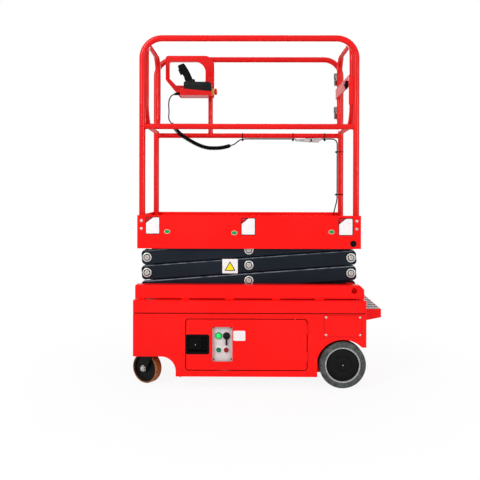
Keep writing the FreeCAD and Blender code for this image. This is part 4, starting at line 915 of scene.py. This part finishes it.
cap_radius = 0.0236
gap_inner = 0.0128
gap_outer = 0.0177
face_radius = 0.0086
arm_face = -0.285
first_pin_z = 0.501
arm_rise = 0.0805
pin_span = 1.07
for level in (1, 2, 3):
    ends = [("mid", 0.5)]
    if level > 1:
        ends.append(("front", 0.0))
    if level < 3:
        ends.append(("rear", 1.0))
    for word, share in ends:
        x = stack_x + (share - 0.5) * pin_span
        z = first_pin_z + (level - 1) * arm_rise + share * arm_rise
        cap = turned(
            (x, arm_face - 0.0022, z), near, cap_radius, 0.0046, 56,
            [(0.0016, 0.0008), (0.0038, 0.0), (0.0006, -0.0019), (0.0042, 0.0), (0.0004, 0.0036),
             (0.0012, 0.0008), (0.003, 0.0), (0.0008, -0.0008), (0.0014, 0.0)], pin_steel, 30)
        # Painted shade: the groove between the ring and the pin's head is coloured black.
        patch(cap, black_paint, within(x, z, gap_outer, gap_inner))
        patch(cap, pin_face, within(x, z, face_radius))
        on_both_sides(cap, "pin_cap_%d_%s_*" % (level, word), "outer_%d" % level, "steel")
for level in ("1", "2", "3"):
    reskin("outer_pins_" + level, 0.0006, zinc, "pin_shafts_" + level, "outer_" + level, "steel")
reskin("lower_rollers", 0.0012, zinc, "track_rollers", "outer_1", "steel")
reskin("upper_rollers", 0.0012, zinc, "deck_rollers", "inner_3", "steel")


# The arm label: a white plate with a plain yellow triangle edged in black, glued to the middle arm. The
# triangle is left empty.
low = (stack_x - 0.1395, arm_face - 0.0006, 0.5785)
high = (stack_x - 0.0585, arm_face + 0.0006, 0.6535)
label("arm_label", low, high, "outer_2", "arm_paint", 0.002, white_film)
yellow_film = film("yellow_film", (244, 222, 34), (212, 190, 44))
triangle_x = (low[0] + high[0]) / 2
triangle_z = 0.6085
deselect()
bpy.ops.mesh.primitive_cylinder_add(
    vertices=3, radius=0.0335, depth=0.0008, location=(triangle_x, arm_face - 0.0007, triangle_z),
    rotation=(math.radians(90), 0.0, 0.0))
triangle = fresh()
soften(triangle, 0.003, 3, along_y)
stepped(triangle, near, [(0.0038, 0.0)])
coated(triangle, black_plastic)
patch(triangle, yellow_film, within(triangle_x, triangle_z, 0.004))
settle(triangle, "arm_triangle", "outer_2", "arm_paint")


# The lift cylinder: a black painted barrel with a gland at its mouth and a plated elbow at its port, and a
# hard chromed rod. It lies between the inner arms, from the lowest pair to the middle pair.
rod_chrome = clouded(
    "rod_chrome", (232, 233, 236), (202, 203, 206), (90.0, 4.0, 0.6), (0.45, 0.8), (0.07, 0.12),
    drawn=(1.0, 8.0, 8.0), metal=1.0)
reskin("cylinder_barrel", 0.0018, black_paint, "barrel", "lift_barrel", "black_paint")
reskin("cylinder_rod", 0.0012, rod_chrome, "rod", "lift_rod", "rod_chrome")


# The platform's deck: steel tread plate in the body's red, its raised lozenges worn by boots, over cross
# ribs and the tracks of the upper rollers.
def deck_skin(place):
    pitch = 21.0
    cell_u = (place.axis("X") + place.axis("Y")) * pitch
    cell_v = (place.axis("X") - place.axis("Y")) * pitch
    odd = cell_u.maths("FLOOR", cell_u) + cell_v.maths("FLOOR", cell_v)
    odd = odd.maths("PINGPONG", odd, 1.0)
    off_u = cell_u.maths("FRACT", cell_u) - 0.5
    off_v = cell_v.maths("FRACT", cell_v) - 0.5
    off_u = off_u.maths("ABSOLUTE", off_u)
    off_v = off_v.maths("ABSOLUTE", off_v)
    lengthwise = off_u + odd * (off_v - off_u)
    crosswise = off_v + odd * (off_u - off_v)
    lozenge = (1.0 - (2.2 * lengthwise + 6.0 * crosswise)).step(0.0, 0.3)
    boots = place.grain(7.0, 4.0, 0.6).step(0.42, 0.66)
    chips = place.grain(150.0, 4.0, 0.7).step(0.45, 0.6)
    worn = lozenge * boots * chips
    dirt = (1.0 - lozenge) * place.grain(16.0, 5.0, 0.7).step(0.4, 0.72)
    coat = (0.55 * dirt).tones(tone(226, 22, 16), tone(108, 62, 52))
    return {
        "Base Color": worn.tones(coat, tone(156, 150, 146)),
        "Metallic": 0.6 * worn,
        "Roughness": 0.36 + 0.3 * dirt,
        "Normal": lozenge.relief(0.9, 0.0016),
    }


deck_paint = finish("deck_plate", deck_skin, sheen=0.28)
reskin("deck", 0.001, deck_paint, "deck_plate", "platform", "red_paint")
reskin("platform_tracks", 0.0012, red_paint, "deck_tracks", "platform", "red_paint")


# The toe-boards: 2 mm sheet, red, bolted round the deck in pairs of plated coach bolts. A dark bolt shows
# in the access hole at the rear of each side.
for node in ("toe_board_near", "toe_board_far", "toe_ends"):
    reskin(node, 0.0006, red_paint, node + "_sheet", "platform", "red_paint")
low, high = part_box("toe_board_near")
board_face = low[1]
for run, word in ((-0.563, "front"), (0.563, "rear")):
    for height in (0.813, 0.854):
        bolt = turned(
            (stack_x + run, board_face - 0.0004, height), near, 0.0078, 0.0016, 32,
            [(0.0008, 0.0008), (0.0022, 0.001), (0.0022, 0.0004)], zinc, 60)
        name = "board_bolt_%s_%d_*" % (word, round(height * 1000))
        on_both_sides(bolt, name, "platform", "red_paint")
hole_x = high[0] - 0.04
hole_z = 0.7365
# A black grommet rings each access hole: partly a real grommet, partly painted shade that widens the hole's
# dark opening.
grommet = turned(
    (hole_x, board_face - 0.0004, hole_z), near, 0.0165, 0.0012, 48,
    [(0.0008, 0.0008), (0.003, 0.0), (0.0006, -0.0012)], black_plastic)
on_both_sides(grommet, "board_grommet_*", "platform", "red_paint")
hole_bolt = turned(
    (hole_x - 0.001, board_face + 0.006, hole_z), near, 0.0095, 0.008, 6,
    [(0.0012, 0.0008), (0.0036, 0.0), (0.0005, 0.003)], black_paint)
shank = disc((hole_x - 0.001, board_face + 0.019, hole_z), near, 0.005, 0.02, 20)
joined(hole_bolt, [coated(shank, black_paint)])
on_both_sides(hole_bolt, "board_stop_*", "platform", "red_paint")


# The signs on the near toe-board: three white films with a dark red border and a red corner, and three
# green oval stickers with a pale rim. Their print is left blank.
red_film = film("red_film", (196, 26, 34), (170, 26, 34))
border_film = film("border_film", (112, 12, 20), (88, 12, 18))
green_film = film("green_film", (22, 146, 96), (20, 122, 82))
rim_film = film("rim_film", (216, 218, 164), (188, 190, 146))
sign_half = (0.0385, 0.046)
border = 0.0042
fold_half = 0.0012
signs = (("front", -0.504, 0.8295), ("middle", -0.004, 0.8255), ("rear", 0.5055, 0.8245))


def sign_layer(name, x, z, inset, lift, coat):
    """One of a sign's films, that far inside its outline and out from the board."""
    across = sign_half[0] - inset
    rise = sign_half[1] - inset
    low = (x - across, board_face - lift, z - rise)
    high = (x + across, board_face + 0.0002, z + rise)
    return label(name, low, high, "platform", "red_paint", 0.0085 - inset, coat)


def cut_corner(sheet, x, z, aside):
    """Leaves only the upper front corner of a film, up to a slanted line."""
    with editing(sheet):
        bpy.ops.mesh.select_all(action="SELECT")
        bpy.ops.mesh.bisect(
            plane_co=(x + aside, board_face, z + sign_half[1]), plane_no=(0.62, 0.0, -0.78),
            use_fill=True, clear_outer=True)


for word, run, height in signs:
    x = stack_x + run
    sign_layer("sign_%s_border" % word, x, height, 0.0, 0.0006, border_film)
    sign_layer("sign_%s_sheet" % word, x, height, border, 0.0009, white_film)
    fold = sign_layer("sign_%s_fold" % word, x, height, border, 0.0011, border_film)
    cut_corner(fold, x, height, 0.0045 + 2 * fold_half)
    corner = sign_layer("sign_%s_corner" % word, x, height, border, 0.0013, red_film)
    cut_corner(corner, x, height, 0.0)
for word, run, height in (("front", -0.4286, 0.798), ("middle", -0.0768, 0.792), ("rear", 0.431, 0.798)):
    x = stack_x + run
    oval = disc((x, board_face - 0.0001, height), near, 0.0155, 0.0008, 40)
    with editing(oval):
        bpy.ops.mesh.select_all(action="SELECT")
        bpy.ops.transform.resize(value=(1.0, 1.0, 0.72), center_override=(x, board_face, height))
    stepped(oval, near, [(0.0016, 0.0)])
    coated(oval, rim_film)
    patch(oval, green_film, within(x, height, 0.002))
    settle(oval, "oval_" + word, "platform", "red_paint")


# The guard rails: round steel tube, 33 mm thick, bent into a hoop on each side with a mid rail welded
# across, and a closed loop across the front. All of it is powder coated and glossy.
def tube_skin(place):
    cloud = place.grain(3.5, 2.0).step(0.3, 0.7)
    peel = place.grain(300.0, 2.0)
    scuff = place.stretched(0.35, 1.0, 0.35).grain(70.0, 5.0, 0.7).step(0.6, 0.78)
    coat = cloud.tones(tone(214, 9, 8), tone(226, 13, 10))
    return {
        "Base Color": (0.3 * scuff).tones(coat, tone(160, 30, 28)),
        "Roughness": 0.15 + 0.06 * cloud + 0.25 * scuff,
        "Normal": peel.relief(0.1, 0.0003),
    }


tube_paint = finish("tube_paint", tube_skin, sheen=0.24)


def dress(coat, *nodes):
    """Paints CAD pieces that keep their own mesh."""
    for node in nodes:
        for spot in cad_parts[node].material_slots:
            spot.material = coat


dress(tube_paint, "rail_near", "rail_far", "front_loop", "gate_loop")


def weld(name, middle, along, radius):
    """A weld bead round a tube where it meets another."""
    deselect()
    turn = Vector(along).to_track_quat("Z", "Y").to_euler()
    bpy.ops.mesh.primitive_torus_add(
        location=middle, rotation=turn, major_radius=radius, minor_radius=0.0022,
        major_segments=40, minor_segments=8)
    settle(coated(fresh(), tube_paint, 60), name, "platform", "red_paint")


low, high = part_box("rail_near")
tube_radius = 0.0165
rail_y = 0.267
mid_z = 1.3509
top_z = 1.8155
post_foot = 0.7952
past_post = 2 * tube_radius + 0.0005
for y, word in ((-rail_y, "near"), (rail_y, "far")):
    for x, end in ((low[0] + past_post, "front"), (high[0] - past_post, "rear")):
        weld("mid_weld_%s_%s" % (end, word), (x, y, mid_z), rearward, 0.0152)
    for x, end in ((low[0] + tube_radius, "front"), (high[0] - tube_radius, "rear")):
        weld("post_weld_%s_%s" % (end, word), (x, y, post_foot), upward, 0.0166)
strut_x = stack_x - 0.232
for height, word in ((mid_z + 0.0142, "low"), (top_z - 0.0158, "high")):
    weld("strut_weld_" + word, (strut_x, rail_y, height), upward, 0.0147)


# The gate: a loop of the same tube that swings inwards on two plated hinges. A flat bar across it carries
# a black slam latch, which strikes the plate on the near post.
# Painted shade: the bar's red is a darker copy of the body's red. Rubbed patches darken it further.
def shaded_bar_skin(place):
    cloud = place.grain(4.0, 2.0).step(0.3, 0.7)
    rub = place.grain(60.0, 4.0, 0.6).step(0.5, 0.75)
    return {
        "Base Color": (0.4 * rub).tones(cloud.tones(tone(196, 22, 24), tone(208, 30, 30)), tone(150, 40, 40)),
        "Roughness": 0.4 + 0.2 * rub,
    }


hinge_steel = clouded(
    "hinge_steel", (132, 131, 127), (84, 82, 78), (110.0, 4.0, 0.6), (0.4, 0.72), (0.36, 0.25),
    (900.0,), (0.15, 0.0001), metal=0.6)

reskin("gate_hinges", 0.0008, hinge_steel, "hinge_straps", "platform", "steel", bend=50)
shaded_plate_paint = finish("gate_plate_shaded_coat", shaded_bar_skin, sheen=0.04)
reskin("gate_bar", 0.0012, shaded_plate_paint, "gate_plate", "gate", "red_paint")
low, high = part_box("gate_hinges")
hinge_x = low[0] + 0.006
hinge_y = 0.243
half_leaf = 0.0042
inward = (-1.0, 0.0, 0.0)
for middle_z, word in ((1.6896, "high"), (1.4874, "low")):
    hinge_low = middle_z + 0.0006
    hinge_high = middle_z + 0.0352
    leaf = block((hinge_x - half_leaf, 0.2238, hinge_low), (hinge_x + half_leaf, 0.2405, hinge_high))
    soften(leaf, 0.0012, 2)
    foot = block((hinge_x - half_leaf, 0.2242, hinge_low), (0.4925, 0.2338, hinge_high))
    soften(foot, 0.0012, 2)
    hinge_middle = (hinge_x, hinge_y, (hinge_low + hinge_high) / 2)
    barrel = disc(hinge_middle, upward, 0.0075, hinge_high - hinge_low, 32)
    stepped(barrel, upward, [(0.0012, 0.0008), (0.0022, 0.0), (0.0005, 0.0016), (0.001, 0.0008)])
    joined(leaf, [foot, barrel])
    settle(coated(leaf, hinge_steel), "hinge_leaf_" + word, "gate", "steel")
    for rise in (0.0095, 0.0265):
        row = round(rise * 1000)
        head = turned(
            (hinge_x - 0.0052, 0.2312, middle_z + rise), inward, 0.0036, 0.002, 6,
            [(0.0006, 0.0005), (0.001, 0.0)], black_paint)
        settle(head, "hinge_bolt_%s_gate_%d" % (word, row), "gate", "steel")
        head = turned(
            (hinge_x + 0.0118, 0.2552, middle_z - rise), near, 0.0042, 0.0024, 6,
            [(0.0008, 0.0006), (0.0012, 0.0)], black_paint)
        settle(head, "hinge_bolt_%s_post_%d" % (word, row), "platform", "steel")

low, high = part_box("gate_bar")
slam_y = -0.205
slam_z = 1.581
latch_case = block(
    (low[0] - 0.013, slam_y - 0.015, slam_z - 0.021), (low[0] - 0.0002, slam_y + 0.015, slam_z + 0.021))
soften(latch_case, 0.003, 3)
stepped(latch_case, inward, [(0.003, 0.0), (0.001, -0.002)])
latch_knob = disc((low[0] - 0.0105, slam_y, slam_z), inward, 0.0075, 0.013, 32)
stepped(latch_knob, inward, [(0.0012, 0.0012), (0.003, 0.0008)])
bolt_bar = block(
    (low[0] - 0.011, slam_y - 0.031, slam_z - 0.0045), (low[0] - 0.004, slam_y, slam_z + 0.0045))
soften(bolt_bar, 0.0012, 2)
joined(latch_case, [latch_knob, bolt_bar])
settle(coated(latch_case, black_plastic), "slam_latch", "gate", "red_paint")


# The control stand: a frame cut from 16 mm plate hangs on the far top rail, and a wedge-sided tray of bent
# sheet welded to its lower edge carries the controller. It is red like the rails.
reskin("control_stand", 0.0015, tube_paint, "stand_frame", "platform", "red_paint")


# The controller: a black textured case with a raised collar, a rubber gaiter and a joystick grip with its
# trigger leaning to the front. A ribbed boot lets the lead out of the front face.
case_black = clouded(
    "case_plastic", (10, 12, 15), (24, 27, 31), (30.0, 4.0, 0.6), (0.5, 0.8), (0.5, 0.16),
    (850.0, 2.0, 0.6), (0.35, 0.0003), sheen=0.16)

soft_rubber = clouded(
    "soft_rubber", (4, 4, 5), (14, 14, 15), (80.0, 4.0, 0.6), (0.5, 0.8), (0.6, 0.2),
    (900.0,), (0.15, 0.0002), sheen=0.08)

tray_x = stack_x - 0.406
tray_floor = 1.5795
case_y = (0.1322, 0.2292)
grip_y = (case_y[0] + case_y[1]) / 2
case = block((tray_x + 0.021, case_y[0], tray_floor), (tray_x + 0.186, case_y[1], tray_floor + 0.0788))


def rear_top_edge(middle, heading):
    return abs(heading.y) > 0.99 and middle.x > tray_x + 0.18 and middle.z > tray_floor + 0.07


soften(case, 0.021, 6, rear_top_edge)
soften(case, 0.0035, 3)
settle(coated(case, case_black), "controller_case", "platform", "black_plastic", "controller")
lid_line = block(
    (tray_x + 0.0203, case_y[0] - 0.0007, tray_floor + 0.0505),
    (tray_x + 0.1867, case_y[1] + 0.0007, tray_floor + 0.0525))
soften(lid_line, 0.0003, 1)
settle(coated(lid_line, soft_rubber), "case_seal", "platform", "black_plastic")


def leaned(piece, turn, pivot):
    """Turns a piece about a line across the machine, its top to the front."""
    with editing(piece):
        bpy.ops.mesh.select_all(action="SELECT")
        bpy.ops.transform.rotate(value=math.radians(turn), orient_axis="Y", center_override=pivot)
    return piece


collar_pivot = (tray_x + 0.055, grip_y, tray_floor + 0.0815)
collar_lean = 15
collar = block(
    (tray_x + 0.025, grip_y - 0.030, tray_floor + 0.072),
    (tray_x + 0.087, grip_y + 0.030, tray_floor + 0.089))
soften(collar, 0.0105, 4, lambda middle, heading: abs(heading.z) > 0.99)
stepped(collar, upward, [(0.0015, 0.0015), (0.006, 0.0), (0.002, 0.004)])
leaned(collar, collar_lean, collar_pivot)
settle(coated(collar, case_black), "grip_collar", "platform", "black_plastic")
gaiter = disc((tray_x + 0.052, grip_y, tray_floor + 0.0935), upward, 0.0235, 0.005, 40)
stepped(gaiter, upward, [
    (0.0012, 0.0012), (0.0018, 0.0), (0.0004, 0.0022), (0.0004, 0.0012), (0.0018, 0.0008), (0.0004, 0.0022)])
leaned(gaiter, collar_lean, collar_pivot)
settle(coated(gaiter, soft_rubber), "grip_gaiter", "platform", "black_plastic")

grip = block(
    (tray_x + 0.023, grip_y - 0.019, tray_floor + 0.090),
    (tray_x + 0.071, grip_y + 0.019, tray_floor + 0.100))
with editing(grip):
    choose("FACE", looking(upward))
    rises = [
        # forward, up, turn in degrees, size
        (-0.005, 0.014, 10, 0.92),
        (-0.009, 0.019, 9, 1.0),
        (-0.012, 0.019, 8, 1.04),
        (-0.012, 0.017, 3, 1.0),
        (-0.007, 0.013, -4, 0.94),
        (-0.003, 0.007, -6, 0.86),
    ]
    top_x = tray_x + 0.047
    top_z = tray_floor + 0.100
    for forward, up, turn, size in rises:
        top_x += forward
        top_z += up
        bpy.ops.mesh.extrude_region_move(TRANSFORM_OT_translate={"value": (forward, 0.0, up)})
        top = (top_x, grip_y, top_z)
        bpy.ops.transform.rotate(value=math.radians(turn), orient_axis="Y", center_override=top)
        bpy.ops.transform.resize(value=(size, size, size), center_override=top)
soften(grip, 0.005, 2, lambda middle, heading: abs(heading.y) < 0.5)
smoother = grip.modifiers.new("smoother", "SUBSURF")
smoother.levels = 2
smoother.render_levels = 2
bpy.ops.object.modifier_apply(modifier="smoother")
settle(coated(grip, soft_rubber, 60), "joystick_grip", "platform", "black_plastic")
trigger_x = tray_x - 0.003
trigger_z = tray_floor + 0.144
trigger = block(
    (trigger_x - 0.007, grip_y - 0.0065, trigger_z - 0.018),
    (trigger_x + 0.012, grip_y + 0.0065, trigger_z + 0.018))
leaned(trigger, 24, (trigger_x, grip_y, trigger_z))
soften(trigger, 0.003, 3)
settle(coated(trigger, case_black), "grip_trigger", "platform", "black_plastic")

boot_z = tray_floor + 0.014
boot_x = tray_x + 0.021
boot_length = 0.032
boot_sag = 0.00012
deselect()
bpy.ops.mesh.primitive_cone_add(
    vertices=32, radius1=0.0105, radius2=0.0088, depth=boot_length,
    location=(boot_x - boot_length / 2, grip_y, boot_z), rotation=(0.0, math.radians(-90), 0.0))
boot = fresh()
with editing(boot):
    choose("FACE", looking(inward))
    tip = Vector((boot_x - boot_length, grip_y, boot_z))
    for count in range(7):
        bend = Vector((-0.004, 0.0, -boot_sag * count))
        tip += bend
        bpy.ops.mesh.extrude_region_move(TRANSFORM_OT_translate={"value": bend})
        bpy.ops.transform.resize(value=(0.96, 0.96, 0.96), center_override=tip)
rings = []
for count in range(10):
    beyond = max(0, count - 5)
    ring_x = boot_x - 0.0035 - 0.0056 * count
    ring_z = boot_z - boot_sag * beyond * (beyond + 1)
    ring = disc((ring_x, grip_y, ring_z), inward, 0.0122 - 0.0005 * count, 0.003, 32)
    soften(ring, 0.0007, 2)
    rings.append(ring)
joined(boot, rings)
settle(coated(boot, soft_rubber), "cord_boot", "platform", "black_plastic")


# The emergency stop: a mushroom button in red plastic on a pale yellow collar, screwed into the rear end
# of the controller's case.
yellow_plastic = shiny("yellow_collar", (255, 196, 84), (246, 176, 62), 0.35)
stop_red = shiny("stop_red", (206, 22, 18), (222, 34, 28), 0.28)
stop_x = tray_x + 0.186
stop_z = tray_floor + 0.026
stop_collar = turned(
    (stop_x + 0.006, grip_y, stop_z), rearward, 0.0205, 0.012, 48,
    [(0.001, 0.001), (0.0045, 0.0), (0.0005, 0.0015)], yellow_plastic)
settle(stop_collar, "stop_collar", "platform", "stop_red", "emergency_stop")
stem = disc((stop_x + 0.0145, grip_y, stop_z), rearward, 0.0105, 0.013, 40)
settle(coated(stem, stop_red), "stop_stem", "platform", "stop_red")
head = disc((stop_x + 0.0215, grip_y, stop_z), rearward, 0.0195, 0.011, 56)
stepped(head, rearward, [
    (0.0008, 0.0012), (0.0015, 0.0014), (0.003, 0.0014), (0.004, 0.0006), (0.004, -0.0003)])
soften(head, 0.0008, 2, lambda middle, heading: middle.x < stop_x + 0.0165)
settle(coated(head, stop_red, 45), "stop_head", "platform", "stop_red")


# The controller's lead: one black cord, 7 mm thick, straight out of the controller's boot, down to the
# mid rail, wound as a tight curly cord below it, and straight again to the first tie on the far rail.
cord_sheath = clouded(
    "cord_sheath", (3, 3, 4), (10, 10, 11), (160.0, 3.0), (0.5, 0.75), (0.42, 0.2),
    (1500.0,), (0.2, 0.0001), sheen=0.06)

cord_thick = 0.007
boot_end = (-0.4662, 0.1807, 1.5935)
upper_lead = [
    boot_end, (-0.4959, 0.1807, 1.5915), (-0.5169, 0.183, 1.570), (-0.5259, 0.197, 1.5365),
    (-0.5239, 0.218, 1.4905), (-0.5305, 0.232, 1.448), (-0.5141, 0.232, 1.4233),
]
curled_run = [
    (-0.5139, 0.232, 1.423), (-0.4759, 0.232, 1.366), (-0.3839, 0.232, 1.307), (-0.3079, 0.232, 1.274),
    (-0.2469, 0.232, 1.271), (-0.1959, 0.232, 1.275), (-0.1519, 0.232, 1.288),
]
lower_lead = [
    (-0.1516, 0.232, 1.2881), (-0.1349, 0.232, 1.293), (-0.1219, 0.238, 1.302), (-0.1099, 0.247, 1.314),
    (-0.0919, 0.257, 1.326), (-0.0679, 0.264, 1.331), (-0.0459, 0.264, 1.331),
]


def smooth_line(name, points, thick=0.0):
    """A smooth line through the air with these points as the spline's control points."""
    line = bpy.data.curves.new(name, "CURVE")
    line.dimensions = "3D"
    line.resolution_u = 4
    spline = line.splines.new("NURBS")
    spline.points.add(len(points) - 1)
    for point, place in zip(spline.points, points):
        point.co = (*place, 1.0)
    spline.order_u = 3
    spline.use_endpoint_u = True
    line.bevel_depth = thick / 2
    line.bevel_resolution = 3
    line.use_fill_caps = True
    return placed(name, line)


def line_points(points):
    """The points of a smooth line along these control points."""
    made = smooth_line("route", points)
    mesh = bpy.data.meshes.new_from_object(made)
    found = [v.co.copy() for v in mesh.vertices]
    bpy.data.meshes.remove(mesh)
    bpy.data.objects.remove(made)
    return found


curl_middle = line_points(curled_run)
curl_radius = 0.0095
curl_pitch = 0.0076
turn_points = 12
reach = [0.0]
for here, there in zip(curl_middle, curl_middle[1:]):
    reach.append(reach[-1] + (there - here).length)
turns = round(reach[-1] / curl_pitch)
helix = []
for count in range(turns * turn_points + 1):
    along = reach[-1] * count / (turns * turn_points)
    after = next(i for i, run in enumerate(reach[1:], 1) if run >= along - 1e-9)
    share = (along - reach[after - 1]) / (reach[after] - reach[after - 1])
    middle = curl_middle[after - 1].lerp(curl_middle[after], share)
    onward = (curl_middle[after] - curl_middle[after - 1]).normalized()
    side = Vector((0.0, 1.0, 0.0))
    up = onward.cross(side)
    angle = 2 * math.pi * count / turn_points
    ends = min(1.0, (count + 1) / turn_points, (turns * turn_points - count + 1) / turn_points)
    radius = curl_radius * ends
    helix.append(middle + radius * (math.cos(angle) * up + math.sin(angle) * side))
cord_run = [Vector(p) for p in upper_lead[:-1]] + helix + [Vector(p) for p in lower_lead[1:]]
stand_cord = smooth_line("stand_cord", cord_run, cord_thick)
stand_cord.data.materials.append(cord_sheath)
run_made = line_points(cord_run)
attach(stand_cord, "platform")
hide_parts("stand_lead", "curly_cord")


# The fixed lead: it is tied under the far mid rail and down the rear post with nylon cable ties, passes a
# white moulded connector, and goes through the deck in a rubber grommet.
dress(cord_sheath, "rail_lead")
reskin("cord_ties", 0.0003, black_plastic, "cable_ties", "platform", "black_plastic")
lead_y = 0.264
lead_z = 1.3309
post_lead_x = 0.4986
tie_heads = [(x, lead_y, lead_z - 0.006) for x in (-0.0795, 0.2281, 0.4211)]
tie_heads += [(post_lead_x - 0.006, lead_y, z) for z in (1.2525, 0.9925)]
for count, (x, y, z) in enumerate(tie_heads, 1):
    tie_head = block((x - 0.0055, y - 0.0065, z - 0.0065), (x + 0.0055, y + 0.0065, z + 0.0045))
    soften(tie_head, 0.0012, 2)
    settle(coated(tie_head, black_plastic), "tie_head_%d" % count, "platform", "black_plastic")


def lengthwise_edge(middle, heading):
    return abs(heading.x) > 0.9


pale_plastic = shiny("connector_plastic", (194, 193, 194), (150, 149, 150), 0.4)
low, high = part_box("cord_plug")
plug_y = (low[1] + high[1]) / 2
plug_z = (low[2] + high[2]) / 2
plug = block((low[0], plug_y - 0.011, plug_z - 0.0125), (low[0] + 0.092, plug_y + 0.011, plug_z + 0.0105))
with editing(plug):
    choose("FACE", looking(inward))
    bpy.ops.transform.resize(value=(1.0, 0.6, 0.55), center_override=(low[0], plug_y, plug_z + 0.004))
    choose("FACE", looking(rearward))
    bpy.ops.mesh.extrude_region_move(TRANSFORM_OT_translate={"value": (0.003, 0.0, 0.0)})
soften(plug, 0.003, 3, lengthwise_edge)
joint = disc((low[0] + 0.098, plug_y, plug_z), rearward, 0.0088, 0.012, 32)
socket = block(
    (low[0] + 0.102, plug_y - 0.0115, plug_z - 0.0125), (high[0] - 0.012, plug_y + 0.0115, plug_z + 0.011))
soften(socket, 0.003, 3, lengthwise_edge)
tail = disc((high[0] - 0.0065, plug_y, plug_z + 0.004), rearward, 0.0062, 0.013, 32)
clip = block(
    (low[0] + 0.062, plug_y - 0.0055, plug_z + 0.0095), (low[0] + 0.116, plug_y + 0.0055, plug_z + 0.0125))
soften(clip, 0.001, 2)
joined(plug, [joint, socket, tail, clip])
coated(plug, pale_plastic)


def in_joint(place, facing):
    return low[0] + 0.0925 < place.x < low[0] + 0.1015 and place.z < plug_z + 0.0075


patch(plug, soft_rubber, in_joint)
settle(plug, "lead_connector", "platform", "plug_plastic", "cord_plug")

low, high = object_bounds()
